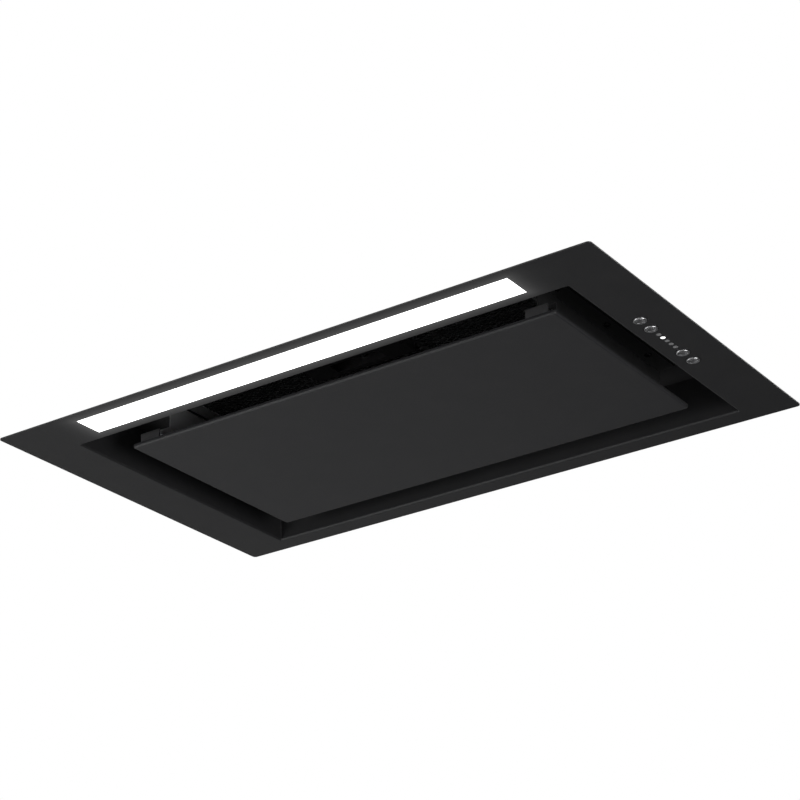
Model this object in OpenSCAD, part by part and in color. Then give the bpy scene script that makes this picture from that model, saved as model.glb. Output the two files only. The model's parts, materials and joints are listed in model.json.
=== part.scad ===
// Built-in range hood with a perimeter slot, a hinged suction panel and a centrifugal blower.
// Millimetres. Each module is drawn from the centre of the facade's lower face, and the last
// lines lift the whole. +Z points up into the cabinet, +X to the buttons and -Y to the lamp.

/* [Facade] */
// Width of the facade's border behind the opening
rear_margin = 19; // [17:0.5:45]
// Radius of the facade plate's corners
facade_corner_r = 3; // [2:0.5:10]
// Thickness of the facade sheet
facade_t = 1; // [0.8:0.1:1.2]
// Outside radius of the edge folded up round the opening
lip_r = 1.6; // [1.5:0.1:2.5]

/* [Opening] */
// Width of the opening between its folded walls
opening_w = 439; // [430:1:440]
// Depth of the opening between its folded walls
opening_d = 258.5; // [252:0.5:259]
// Corner radius of the folded walls
opening_corner_r = 0.8; // [0.6:0.2:4]
// Height of the recess ceiling above the facade's face
recess_h = 39; // [37:1:44]
// Thickness of the recess ceiling and the brackets
bracket_t = 1.2; // [1:0.1:1.5]

/* [Lamp] */
// Length of the lit strip
lamp_w = 385; // [300:1:400]
// Width of the lit strip
lamp_d = 25.6; // [22:0.2:26]
// Distance from the facade's lamp edge to the lit strip
lamp_margin = 10.8; // [8:0.2:12]
// Distance from the lit strip to the opening
lamp_gap = 10.1; // [9:0.1:16]
// Height of the lamp housing above the facade
lamp_h = 22; // [16:1:30]
// Number of light-emitting diodes on the board
led_count = 24; // [8:1:36]

/* [Controls] */
// Distance from the casing to the line of buttons
control_offset = 9.3; // [9:0.1:14]
// Distance from the facade's right edge to the line of buttons
control_inset = 29.2; // [28:0.2:31]
// Diameter of a button's cap
button_dia = 9.8; // [9:0.2:11.4]
// How far a button's cap stands out of the facade
button_proud = 0.8; // [0.4:0.1:1.4]
// Distance between the two buttons of a pair
button_pitch = 16.1; // [14:0.1:20]
// Distance from the middle indicator to the nearer button
button_inner = 24.1; // [22:0.1:30]
// How far a button travels when pressed
button_travel = 1.2; // [0.5:0.1:1.4]
// Diameter of an indicator lens
indicator_dia = 3.7; // [2.5:0.1:4.5]
// Distance between indicator lenses
indicator_pitch = 6.3; // [5.5:0.1:7]
// Number of indicator lenses
indicator_count = 5; // [1:2:5]

/* [Suction panel] */
// Gap between the panel's ends and the opening
panel_gap_side = 27.5; // [20:0.5:34]
// Gap between the panel's long edges and the opening
panel_gap_long = 28.75; // [26:0.25:34]
// Height of the panel's turned-up rim
panel_rim_h = 3; // [2.6:0.2:4]
// Thickness of the panel's skin
panel_t = 1.2; // [0.8:0.1:1.4]
// Width of a catch tab
tab_w = 18.4; // [12:0.4:24]
// Height of a catch tab above the facade's face
tab_h = 10.8; // [9:0.2:13]
// Height of the hinge line above the facade's face
hinge_z = 16; // [14:0.5:19]
// Radius of a hinge pin
pin_r = 2.4; // [1.8:0.1:3]
// Distance from the panel's end to the side bracket's outer face
bracket_inset = 23; // [22:0.5:34]

/* [Filter] */
// Depth of the grease filter
filter_d = 180; // [150:1:184]
// Thickness of the grease filter
filter_t = 10; // [8:0.5:14]
// Width of the filter frame's visible border
filter_border = 12; // [8:0.5:16]
// Number of pleats in the filter pack
pleat_count = 30; // [16:1:36]
// How far the filter's latch slides
latch_travel = 6; // [4:0.5:7]

/* [Casing] */
// Height of the lower casing's shoulder
shoulder_h = 92; // [84:1:110]
// Width of the shoulder beside the upper casing
shoulder_w = 59.5; // [55:0.5:70]
// Thickness of the casing's sheet
casing_t = 1; // [0.8:0.1:1.5]
// Height of the side fixing holes above the facade's face
fixing_z = 70; // [66:1:76]
// Distance between the two side fixing holes
fixing_gap = 180; // [120:1:220]
// Radius of a side fixing hole
fixing_r = 2.6; // [2:0.1:3.5]

/* [Blower] */
// Diameter of the impeller
impeller_dia = 140; // [120:1:144]
// Width of the impeller over its two rows of blades
impeller_w = 104; // [90:1:116]
// Number of blades in each row
blade_count = 36; // [20:1:44]
// Thickness of a blade
blade_t = 1.4; // [1:0.1:2]
// Height of the scroll above the filter
blower_lift = 13.1; // [10:0.1:40]
// Running gap between the impeller and the scroll's start
scroll_gap = 7; // [5:0.5:9]
// Extra radius of the scroll where it meets the outlet
scroll_growth = 35; // [28:1:38]
// Radius of the motor's body
motor_r = 41; // [34:1:44]
// Radius of the motor's shaft
shaft_r = 4; // [3:0.5:5]

/* [Outlet] */
// Outside diameter of the duct collar
collar_dia = 149; // [140:1:150]
// Height of the collar above the casing
collar_h = 40; // [34:1:60]
// Wall of the collar
collar_wall = 2; // [1.5:0.1:3]

/* [Hidden] */
$fn = 48;

// Overrun of a cut past the face it opens
over = 0.5;
// Gap between pieces that seat in each other
fit = 0.3;
// Running gap between a pin and its bore
run = 0.06;

casing_gap = 3;
casing_w = opening_w + 2 * (facade_t + casing_gap + casing_t);
casing_d = opening_d + 2 * (facade_t + casing_gap + casing_t);
control_x = casing_w / 2 + control_offset;
facade_w = 2 * (control_x + control_inset);
facade_d = lamp_margin + lamp_d + lamp_gap + opening_d + rear_margin;
opening_y = facade_d / 2 - rear_margin - opening_d / 2;
panel_w = opening_w - 2 * panel_gap_side;
panel_d = opening_d - 2 * panel_gap_long;
panel_front_y = opening_y - panel_d / 2;
panel_rear_y = opening_y + panel_d / 2;
ceiling_top = recess_h + bracket_t;

// Rectangle with round corners, centred
module plate_2d(w, d, r) {
    translate([-w / 2 + r, -d / 2]) square([w - 2 * r, d]);
    translate([-w / 2, -d / 2 + r]) square([w, d - 2 * r]);
    for (x = [-1, 1])
        for (y = [-1, 1])
            translate([x * (w / 2 - r), y * (d / 2 - r)]) circle(r);
}

// Upright tube with a rounded rectangular section
module ring(w, d, r, wall, h) {
    linear_extrude(h)
        difference() {
            plate_2d(w, d, r);
            plate_2d(w - 2 * wall, d - 2 * wall, max(r - wall, r / 8));
        }
}

// Box shell, open at the bottom
module lid_shell(w, d, h, wall) {
    difference() {
        translate([-w / 2, -d / 2, 0]) cube([w, d, h]);
        translate([-w / 2 + wall, -d / 2 + wall, -over])
            cube([w - 2 * wall, d - 2 * wall, h - wall + over]);
    }
}

// Turns a profile drawn in X and Y to stand in Y and Z, and extrudes it from x along X
module along_x(x, length) {
    translate([x, 0, 0]) rotate([90, 0, 90]) linear_extrude(length) children();
}

// Turns a profile drawn in X and Y to stand in X and Z, and extrudes it from y along -Y
module along_y(y, length) {
    translate([0, y, 0]) rotate([90, 0, 0]) linear_extrude(length) children();
}

// Cylinder along X
module rod_x(r, x0, x1) {
    translate([x0, 0, 0]) rotate([0, 90, 0]) cylinder(r = r, h = x1 - x0);
}

// Cylinder along Y
module rod_y(r, y0, y1) {
    translate([0, y0, 0]) rotate([-90, 0, 0]) cylinder(r = r, h = y1 - y0);
}

// Quarter of a sheet bend of outside radius r, its flat end at the origin, bending away along +X
module bend_2d(r, t) {
    intersection() {
        difference() {
            translate([0, r]) circle(r);
            translate([0, r]) circle(r - t);
        }
        square([r, r]);
    }
}

// Sheet bend all the way round a rounded rectangle; side is 1 to bend towards the middle
// and -1 to bend outwards. The flat sheet ends on the rectangle w by d
module bend_ring(w, d, corner_r, r, t, side) {
    for (x = [-1, 1])
        translate([x * w / 2, 0, 0]) rotate([90, 0, 0])
            translate([0, 0, -d / 2 + corner_r]) linear_extrude(d - 2 * corner_r)
                mirror([x * side > 0 ? 1 : 0, 0]) bend_2d(r, t);
    for (y = [-1, 1])
        translate([0, y * d / 2, 0]) rotate([90, 0, 90])
            translate([0, 0, -w / 2 + corner_r]) linear_extrude(w - 2 * corner_r)
                mirror([y * side > 0 ? 1 : 0, 0]) bend_2d(r, t);
    for (x = [-1, 1])
        for (y = [-1, 1])
            translate([x * (w / 2 - corner_r), y * (d / 2 - corner_r), 0])
                rotate([0, 0, atan2(y, x) - 45])
                    rotate_extrude(angle = 90) translate([corner_r, 0])
                        mirror([side > 0 ? 1 : 0, 0]) bend_2d(r, t);
}

// Facade

lamp_y = -facade_d / 2 + lamp_margin + lamp_d / 2;
lamp_flange_x = 3;
lamp_flange_y = 1.8;
lamp_wall = 0.8;
lamp_body_w = lamp_w + 2 * (lamp_flange_x + fit + lamp_wall);
lamp_body_d = lamp_d + 2 * (lamp_flange_y + fit + lamp_wall);
lamp_ear = 14;

button_hole_r = button_dia / 2 + 0.045 * button_dia;
indicator_hole_r = indicator_dia / 2 + 0.03 * indicator_dia;
control_wall = 1.5;
control_left = casing_w / 2 + fit;
control_right = control_x + 1.5 * button_dia;
control_half = button_inner + button_pitch + 0.85 * button_dia;
control_ear = 12;
control_ear_t = 1.5;
stud_r = 2;
stud_h = 7;

function button_y(i) = (i < 2 ? -1 : 1) * (button_inner + ((i == 0 || i == 3) ? button_pitch : 0));
function indicator_y(i) = (i - (indicator_count - 1) / 2) * indicator_pitch;

module lamp_studs_at() {
    for (x = [-1, 1])
        translate([x * (lamp_body_w + lamp_ear) / 2, lamp_y, 0]) children();
}

module control_studs_at() {
    for (y = [-1, 1])
        translate([(control_left + control_right) / 2, y * (control_half + control_ear / 2), 0]) children();
}

module stud() {
    translate([0, 0, facade_t / 2]) cylinder(r = stud_r, h = stud_h + facade_t / 2);
}

module facade_plate() {
    color([0.13, 0.13, 0.13]) {
        difference() {
            linear_extrude(facade_t) plate_2d(facade_w, facade_d, facade_corner_r);
            translate([0, opening_y, -over]) linear_extrude(facade_t + 2 * over)
                plate_2d(opening_w + 2 * lip_r, opening_d + 2 * lip_r, opening_corner_r + lip_r);
            translate([-lamp_w / 2, lamp_y - lamp_d / 2, -over])
                cube([lamp_w, lamp_d, facade_t + 2 * over]);
            for (i = [0:3])
                translate([control_x, button_y(i), -over])
                    cylinder(r = button_hole_r, h = facade_t + 2 * over);
            for (i = [0:indicator_count - 1])
                translate([control_x, indicator_y(i), -over])
                    cylinder(r = indicator_hole_r, h = facade_t + 2 * over);
        }
        translate([0, opening_y, 0])
            bend_ring(opening_w + 2 * lip_r, opening_d + 2 * lip_r, opening_corner_r + lip_r, lip_r,
                facade_t, 1);
        translate([0, opening_y, lip_r])
            ring(opening_w + 2 * facade_t, opening_d + 2 * facade_t, opening_corner_r + facade_t, facade_t,
                recess_h - lip_r);
        lamp_studs_at() stud();
        control_studs_at() stud();
    }
}

// Recess ceiling, with a hole for the filter, that rests on the folded walls

filter_play = 2;
filter_y = opening_y;
ceiling_w = casing_w - 2 * casing_t - 2 * fit;
ceiling_d = casing_d - 2 * casing_t - 2 * fit;
bracket_clear = 0.8;
bracket_x = panel_w / 2 - bracket_inset;
filter_w = 2 * (bracket_x - bracket_t - bracket_clear - filter_play);
bracket_flange = 14;
bracket_setback = 16.9;
bracket_front_y = panel_front_y + bracket_setback;
hinge_inset = 7.2;
hinge_y = panel_rear_y - hinge_inset;
screw_place_shares = [0.09, 0.5, 0.86];
screw_r = 1.5;
screw_head_r = 3;
screw_head_h = 1.8;

function bracket_screw_y(i) = bracket_front_y + screw_place_shares[i] * (hinge_y - bracket_front_y);

module bracket_screw_places() {
    for (side = [-1, 1])
        for (i = [0:2])
            translate([side * (bracket_x + 0.55 * bracket_flange), bracket_screw_y(i), 0]) children();
}

module recess_ceiling() {
    color([0.10, 0.10, 0.11])
        translate([0, 0, recess_h])
            difference() {
                translate([0, opening_y, 0]) linear_extrude(bracket_t)
                    plate_2d(ceiling_w, ceiling_d, opening_corner_r);
                translate([0, filter_y, -over])
                    linear_extrude(bracket_t + 2 * over)
                        plate_2d(filter_w + 2 * filter_play, filter_d + 2 * filter_play, opening_corner_r);
                bracket_screw_places() translate([0, 0, -over])
                    cylinder(r = screw_r + run, h = bracket_t + 2 * over);
            }
}

// Lamp

module lamp_diffuser() {
    clear = 0.15;
    color([0.98, 0.98, 0.97])
        translate([0, lamp_y, 0]) {
            translate([-lamp_w / 2 + clear, -lamp_d / 2 + clear, 0])
                cube([lamp_w - 2 * clear, lamp_d - 2 * clear, facade_t + fit]);
            translate([-lamp_w / 2 - lamp_flange_x, -lamp_d / 2 - lamp_flange_y, facade_t])
                cube([lamp_w + 2 * lamp_flange_x, lamp_d + 2 * lamp_flange_y, 2 * facade_t]);
        }
}

module lamp_housing() {
    color([0.78, 0.79, 0.80])
        translate([0, lamp_y, facade_t])
            difference() {
                union() {
                    lid_shell(lamp_body_w, lamp_body_d, lamp_h, lamp_wall);
                    for (x = [-1, 1])
                        translate([x * (lamp_body_w + lamp_ear - lamp_wall) / 2 - (lamp_ear + lamp_wall) / 2,
                            -lamp_body_d / 4, 0])
                            cube([lamp_ear + lamp_wall, lamp_body_d / 2, lamp_wall]);
                }
                for (x = [-1, 1])
                    translate([x * (lamp_body_w + lamp_ear) / 2, 0, -over])
                        cylinder(r = stud_r + run, h = lamp_wall + 2 * over);
                translate([lamp_lead_x, 0, lamp_h - lamp_wall - over])
                    cylinder(r = lead_r + run, h = lamp_wall + 2 * over);
            }
}

led_board_t = 1.6;
led_side = 3.5;
led_h = 1;

module led_board() {
    board_z = facade_t + lamp_h - lamp_wall - led_board_t;
    board_w = lamp_w - 2 * lamp_ear;
    pitch = board_w / led_count;
    color([0.92, 0.93, 0.90]) {
        translate([-board_w / 2, lamp_y - 0.4 * lamp_d, board_z])
            cube([board_w, 0.8 * lamp_d, led_board_t]);
        for (i = [0:led_count - 1])
            translate([(i - (led_count - 1) / 2) * pitch - led_side / 2, lamp_y - led_side / 2,
                board_z - led_h])
                cube([led_side, led_side, led_h + led_board_t / 2]);
    }
}

// Controls

cap_h = 3.2;
stem_r = 1.9;
press_clear = 0.5;
guide_z = cap_h + button_travel + press_clear;
guide_t = 1.5;
switch_gap = 2.5;
switch_z = guide_z + guide_t + switch_gap;
switch_h = 4;
switch_side = 6;
board_t = 1.6;
control_board_z = switch_z + switch_h;
board_clear = 2;
control_top = control_board_z + board_t + board_clear;
stem_seat = 0.4;
stem_top = switch_z + stem_seat;

module control_box(z0, z1, inset) {
    translate([control_left + inset, -control_half + inset, z0])
        cube([control_right - control_left - 2 * inset, 2 * (control_half - inset), z1 - z0]);
}

module control_housing() {
    color([0.16, 0.16, 0.17])
        difference() {
            union() {
                difference() {
                    control_box(facade_t, control_top, 0);
                    control_box(facade_t - over, guide_z, control_wall);
                    control_box(guide_z + guide_t, control_top + over, control_wall);
                }
                for (x = [0, 1])
                    for (y = [-1, 1])
                        translate([x > 0 ? control_right - 3 * control_wall : control_left,
                            y * (control_half - 2 * control_wall)
                            - 2 * control_wall, guide_z + guide_t / 2])
                            cube([3 * control_wall, 4 * control_wall,
                                control_board_z - guide_z - guide_t / 2]);
                for (y = [-1, 1])
                    translate([(control_left + control_right) / 2 - control_ear / 2,
                        y * (control_half + control_ear / 2) - control_ear / 2
                        - (y > 0 ? control_wall : 0), facade_t])
                        cube([control_ear, control_ear + control_wall, control_ear_t]);
            }
            for (y = [-1, 1])
                translate([(control_left + control_right) / 2, y * (control_half + control_ear / 2), 0])
                    cylinder(r = stud_r + run, h = facade_t + control_ear_t + over);
            for (i = [0:3])
                translate([control_x, button_y(i), guide_z - over])
                    cylinder(r = stem_r + run, h = guide_t + 2 * over);
            for (i = [0:indicator_count - 1])
                translate([control_x, indicator_y(i), guide_z - over])
                    cylinder(r = 0.3 * indicator_dia, h = guide_t + 2 * over);
        }
}

module control_lid() {
    lip_h = 1.5;
    color([0.18, 0.18, 0.19])
        difference() {
            union() {
                control_box(control_top, control_top + control_wall, 0);
                control_box(control_top - lip_h, control_top + control_wall / 2, control_wall + fit);
            }
            control_box(control_top - lip_h - over, control_top, 2 * control_wall + fit);
            translate([control_lead_x, control_lead_y, control_top - over])
                cylinder(r = lead_r + run, h = control_wall + 2 * over);
        }
}

module control_board() {
    color([0.10, 0.38, 0.20]) {
        control_box(control_board_z, control_board_z + board_t, control_wall + fit);
        for (i = [0:indicator_count - 1])
            translate([control_x - led_side / 2, indicator_y(i) - led_side / 2, control_board_z - led_h])
                cube([led_side, led_side, led_h + board_t / 2]);
    }
}

module tact_switches() {
    color([0.12, 0.12, 0.12])
        for (i = [0:3])
            translate([control_x, button_y(i), switch_z])
                difference() {
                    translate([-switch_side / 2, -switch_side / 2, 0])
                        cube([switch_side, switch_side, switch_h]);
                    translate([0, 0, -over])
                        cylinder(r = stem_r + run, h = over + stem_seat + button_travel + fit);
                }
}

module indicator_lenses() {
    color([0.80, 0.82, 0.84])
        for (i = [0:indicator_count - 1])
            translate([control_x, indicator_y(i), 0])
                rotate_extrude() {
                    square([indicator_dia / 2, guide_z]);
                    translate([0, facade_t + fit]) square([0.72 * indicator_dia, facade_t]);
                }
}

// A dished cap with a bevelled edge, a collar that stops it in the hole, and a stem to the switch
module button(i) {
    r = button_dia / 2;
    dish_r = 2.2 * r;
    edge = 0.1 * r;
    color([0.46, 0.47, 0.48])
        translate([control_x, button_y(i), 0])
            rotate_extrude() {
                difference() {
                    translate([0, -button_proud]) square([r, cap_h + button_proud]);
                    translate([r, -button_proud]) rotate(45) square(2 * edge * sqrt(0.5), center = true);
                    translate([0, -button_proud - sqrt(pow(dish_r, 2) - pow(0.78 * r, 2))]) circle(dish_r);
                }
                translate([0, facade_t + fit]) square([r + 0.17 * r, 0.25 * cap_h]);
                translate([0, cap_h / 2]) square([stem_r, stem_top - cap_h / 2]);
            }
}

module nut() {
    difference() {
        cylinder(r = 1.9 * stud_r, h = 1.4 * stud_r, $fn = 6);
        translate([0, 0, -over]) cylinder(r = stud_r + run, h = 1.4 * stud_r + 2 * over);
    }
}

module stud_nuts() {
    color([0.72, 0.72, 0.70]) {
        lamp_studs_at() translate([0, 0, facade_t + lamp_wall]) nut();
        control_studs_at() translate([0, 0, facade_t + control_ear_t]) nut();
    }
}

// Suction panel

panel_corner_r = 2.4;
panel_bend_r = 1.6;
tab_t = 1.5;
tab_foot = 12;
tab_inset = 16;
tab_x = panel_w / 2 - tab_inset;
tab_y = panel_front_y + 1.2 * panel_bend_r;
stiffener_margin = 40;
stiffener_w = panel_w - 2 * stiffener_margin;
stiffener_d = 0.74 * panel_d;
stiffener_h = 7;
stiffener_t = 0.8;
stiffener_foot = 8;
arm_t = 1.5;
arm_gap = 0.6;
arm_x = bracket_x - bracket_t - arm_gap;
arm_foot = 16;
arm_r = 6.5;

module panel_skin() {
    flat_w = panel_w - 2 * panel_bend_r;
    flat_d = panel_d - 2 * panel_bend_r;
    color([0.17, 0.17, 0.17])
        translate([0, opening_y, 0]) {
            linear_extrude(panel_t) plate_2d(flat_w, flat_d, panel_corner_r - panel_bend_r);
            bend_ring(flat_w, flat_d, panel_corner_r - panel_bend_r, panel_bend_r, panel_t, -1);
            translate([0, 0, panel_bend_r])
                ring(panel_w, panel_d, panel_corner_r, panel_t, panel_rim_h - panel_bend_r);
        }
}

// Pressed inner tray that stiffens the skin: a flanged dish with round cut-outs
module panel_stiffener() {
    hole_r = 0.12 * stiffener_d;
    color([0.30, 0.30, 0.31])
        translate([0, opening_y, panel_t])
            difference() {
                union() {
                    linear_extrude(stiffener_t) plate_2d(stiffener_w, stiffener_d, 2 * stiffener_foot);
                    linear_extrude(stiffener_h)
                        plate_2d(stiffener_w - 2 * stiffener_foot, stiffener_d - 2 * stiffener_foot,
                            stiffener_foot);
                }
                translate([0, 0, -over])
                    linear_extrude(stiffener_h - stiffener_t + over)
                        plate_2d(stiffener_w - 2 * stiffener_foot - 2 * stiffener_t,
                            stiffener_d - 2 * stiffener_foot - 2 * stiffener_t,
                                stiffener_foot - stiffener_t);
                for (x = [-2:2])
                    translate([x * stiffener_w / 6, 0, 0]) cylinder(r = hole_r, h = stiffener_h + over);
            }
}

module panel_catch_tabs() {
    color([0.34, 0.34, 0.35])
        for (side = [-1, 1])
            along_x(side * tab_x - tab_w / 2, tab_w)
                polygon([[tab_y, panel_t], [tab_y + tab_foot, panel_t], [tab_y + tab_foot, panel_t + tab_t],
                    [tab_y + tab_t, panel_t + tab_t], [tab_y + tab_t, 0.62 * tab_h],
                    [tab_y + 0.4 * tab_t, 0.75 * tab_h], [tab_y + tab_t, 0.88 * tab_h],
                        [tab_y + tab_t, tab_h],
                    [tab_y, tab_h]]);
}

module panel_hinge_arms() {
    color([0.34, 0.34, 0.35])
        for (side = [-1, 1])
            mirror([side > 0 ? 0 : 1, 0, 0]) {
                along_x(arm_x - arm_t, arm_t)
                    difference() {
                        union() {
                            translate([hinge_y, hinge_z]) circle(arm_r);
                            polygon([[hinge_y - 3 * arm_r, panel_t], [hinge_y + 0.8 * arm_r, panel_t],
                                [hinge_y + arm_r, hinge_z], [hinge_y - arm_r, hinge_z]]);
                        }
                        translate([hinge_y, hinge_z]) circle(pin_r + run);
                    }
                translate([arm_x - arm_t, hinge_y - 3 * arm_r, panel_t])
                    cube([arm_foot, 3.8 * arm_r, arm_t]);
            }
}

module hinge_pins() {
    head_r = 1.7 * pin_r;
    head_h = 0.5 * pin_r;
    color([0.75, 0.75, 0.76])
        for (side = [-1, 1])
            mirror([side > 0 ? 0 : 1, 0, 0])
                translate([0, hinge_y, hinge_z]) {
                    rod_x(pin_r, arm_x - 1.6 * arm_t, bracket_x + head_h);
                    rod_x(head_r, bracket_x, bracket_x + head_h);
                }
}

// Side brackets hang from the recess ceiling and carry the hinge pins and the catch clips

bracket_bottom = 6;
bracket_nose = 15;
bracket_tail_r = 7;

module bracket_web_2d() {
    difference() {
        union() {
            polygon([[bracket_front_y, bracket_bottom], [hinge_y, 1.5 * bracket_bottom],
                [hinge_y + bracket_tail_r, hinge_z], [hinge_y + bracket_tail_r, recess_h],
                    [bracket_front_y, recess_h]]);
            translate([hinge_y, hinge_z]) circle(bracket_tail_r);
        }
        translate([hinge_y, hinge_z]) circle(pin_r + run);
    }
}

module bracket(side) {
    mirror([side > 0 ? 0 : 1, 0, 0])
        difference() {
            union() {
                along_x(bracket_x - bracket_t, bracket_t) bracket_web_2d();
                translate([bracket_x - bracket_t, bracket_front_y, recess_h - bracket_t])
                    cube([bracket_flange + bracket_t, hinge_y + bracket_tail_r - bracket_front_y,
                        bracket_t]);
                translate([bracket_x - bracket_t, bracket_front_y, bracket_bottom])
                    cube([bracket_nose + bracket_t, bracket_t, 2 * bracket_bottom]);
            }
            for (i = [0:2])
                translate([bracket_x + 0.55 * bracket_flange, bracket_screw_y(i),
                    recess_h - bracket_t - over])
                    cylinder(r = screw_r + run, h = bracket_t + 2 * over);
        }
}

module bracket_left() {
    color([0.20, 0.20, 0.21]) bracket(-1);
}

module bracket_right() {
    color([0.20, 0.20, 0.21]) bracket(1);
}

// Pan-head screw with its head down, under the face at z = 0
module screw_up(length) {
    translate([0, 0, -screw_head_h])
        rotate_extrude()
            difference() {
                union() {
                    square([screw_r, screw_head_h + length]);
                    intersection() {
                        square([screw_head_r, screw_head_h]);
                        translate([0, 1.4 * screw_head_r]) circle(1.4 * screw_head_r);
                    }
                }
                square([0.35 * screw_head_r, 0.4 * screw_head_h]);
            }
}

module bracket_screws() {
    color([0.35, 0.35, 0.36])
        bracket_screw_places() translate([0, 0, recess_h - bracket_t]) screw_up(4 * bracket_t);
}

// Spring clips behind the catch tabs: a leaf bent over at the top, with a bump for the tab's notch
module catch_clips() {
    leaf = 0.6;
    clip_w = 0.6 * bracket_nose;
    y0 = bracket_front_y;
    y1 = tab_y + tab_t + fit;
    z0 = bracket_bottom + 2 * leaf;
    z1 = tab_h;
    color([0.66, 0.66, 0.67])
        for (side = [-1, 1])
            along_x(side * (bracket_x + 0.55 * bracket_nose) - clip_w / 2, clip_w)
                polygon([[y0, z0], [y0, z1 + 2 * leaf], [y1 + 2 * leaf, z1 + 2 * leaf], [y1 + leaf, z1],
                    [y1, 0.82 * z1], [y1 + leaf, 0.66 * z1], [y1 + 2 * leaf, 0.66 * z1],
                    [y1 + leaf + 0.6 * leaf, 0.82 * z1], [y1 + 3 * leaf, z1 + leaf], [y0 - leaf, z1 + leaf],
                    [y0 - leaf, z0]]);
}

// Grease filter

filter_sheet = 0.8;
filter_corner_r = 1.2;
filter_front_y = filter_y - filter_d / 2;
grip_w = 90;
grip_d = 34;
grip_drop = 7;
latch_w = 22;
latch_t = 1.8;
latch_z = ceiling_top + fit;
lug_reach = 6;
latch_reach = latch_travel;
latch_len = 24;
spring_wire_r = 0.4;
spring_coil_r = 2;
spring_turns = 6;
spring_z = latch_z + latch_t / 2;
spring_y0 = filter_front_y - latch_reach + filter_play + latch_len + fit;
spring_y1 = filter_front_y + filter_sheet + grip_d - fit;

module filter_frame() {
    color([0.66, 0.67, 0.69])
        translate([0, filter_y, recess_h])
            difference() {
                union() {
                    ring(filter_w, filter_d, filter_corner_r, filter_sheet, filter_t);
                    ring(filter_w, filter_d, filter_corner_r, filter_border, filter_sheet);
                    translate([0, 0, filter_t - filter_sheet])
                        ring(filter_w, filter_d, filter_corner_r, filter_border, filter_sheet);
                    for (x = [-1, 1])
                        translate([x * filter_w / 4 - latch_w / 2, filter_d / 2 - filter_sheet,
                            bracket_t + fit])
                            cube([latch_w, lug_reach, filter_sheet]);
                }
                translate([-latch_w / 2 - fit, -filter_d / 2 - over, bracket_t + fit / 2])
                    cube([latch_w + 2 * fit, filter_sheet + 2 * over, latch_t + fit]);
                translate([-grip_w / 2, -filter_d / 2 + 2 * filter_sheet, -over])
                    cube([grip_w, grip_d, filter_sheet + 2 * over]);
            }
}

// Lower cover: a sheet with rows of slots
module filter_cover() {
    cols = 11;
    rows = 6;
    w = filter_w - 2 * filter_sheet - 2 * fit;
    d = filter_d - 2 * filter_sheet - 2 * fit;
    slot_w = 0.7 * (w - 2 * filter_border) / cols;
    slot_d = 0.6 * (d - 2 * filter_border - grip_d) / rows;
    pitch_x = (w - 2 * filter_border) / cols;
    pitch_y = (d - 2 * filter_border - grip_d) / rows;
    color([0.74, 0.75, 0.76])
        translate([0, filter_y, recess_h + filter_sheet])
            difference() {
                linear_extrude(filter_sheet) plate_2d(w, d, filter_corner_r);
                for (i = [0:cols - 1])
                    for (j = [0:rows - 1])
                        translate([(i - (cols - 1) / 2) * pitch_x - slot_w / 2,
                            -d / 2 + filter_border + grip_d + (j + 0.5) * pitch_y - slot_d / 2, -over])
                            cube([slot_w, slot_d, filter_sheet + 2 * over]);
                translate([-grip_w / 2, -d / 2 - over, -over])
                    cube([grip_w, grip_d + 2 * over, filter_sheet + 2 * over]);
            }
}

// Pleated pack of knitted mesh, one folded sheet from end to end
module filter_pack() {
    w = filter_w - 2 * filter_sheet - 4 * fit;
    y0 = filter_front_y + grip_d + 2 * filter_sheet + fit;
    y1 = filter_y + filter_d / 2 - filter_sheet - fit;
    low = recess_h + 2 * filter_sheet + fit;
    high = recess_h + filter_t - filter_sheet - fit;
    t = 0.25 * (high - low);
    step = w / pleat_count;
    color([0.80, 0.81, 0.82])
        along_y(y1, y1 - y0)
            polygon(concat(
                [for (i = [0:pleat_count]) [-w / 2 + i * step, (i % 2 == 0 ? low : high - t)]],
                [for (i = [pleat_count:-1:0]) [-w / 2 + i * step, (i % 2 == 0 ? low + t : high)]]));
}

// Pressed finger cup in the front border of the filter, with a guide for the latch
module filter_grip() {
    sheet = filter_sheet;
    y0 = filter_front_y + 2 * sheet + fit;
    w = grip_w - 2 * fit;
    d = grip_d - 2 * fit;
    pin_r = spring_coil_r - spring_wire_r - fit;
    color([0.60, 0.61, 0.63]) {
        difference() {
            translate([-w / 2, y0, recess_h - grip_drop]) cube([w, d, grip_drop + filter_t - 2 * sheet]);
            translate([-w / 2 + sheet, y0 - over, recess_h - grip_drop + sheet])
                cube([w - 2 * sheet, d - sheet + over, grip_drop + filter_t]);
            translate([-0.25 * grip_w, y0 + 0.45 * grip_d, recess_h - grip_drop - over])
                cube([0.5 * grip_w, 0.4 * grip_d, sheet + 2 * over]);
        }
        translate([0, 0, spring_z]) rod_y(pin_r, y0 + d - sheet - 0.6 * latch_len / 2, y0 + d - sheet / 2);
    }
}

// Latch: a tongue that passes over the ceiling's edge, and a thumb tab in the grip
module filter_latch() {
    y0 = filter_front_y - latch_reach + filter_play;
    color([0.22, 0.22, 0.23]) {
        translate([-latch_w / 2, y0, latch_z]) cube([latch_w, latch_len, latch_t]);
        translate([-latch_w / 2, y0 + latch_len - 2 * latch_t,
            recess_h - grip_drop + 2 * filter_sheet + fit])
            cube([latch_w, latch_t, latch_z - recess_h + grip_drop - 2 * filter_sheet]);
    }
}

// Point on the spring's wire, t from 0 to 1 along it and a round its section
function spring_point(t, a) =
    let (turn = 360 * spring_turns * t)
    let (r = spring_coil_r + spring_wire_r * cos(a))
    [r * cos(turn), spring_y0 + spring_wire_r + (spring_y1 - spring_y0 - 2 * spring_wire_r) * t
        + spring_wire_r * sin(a), spring_z + r * sin(turn)];

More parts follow.
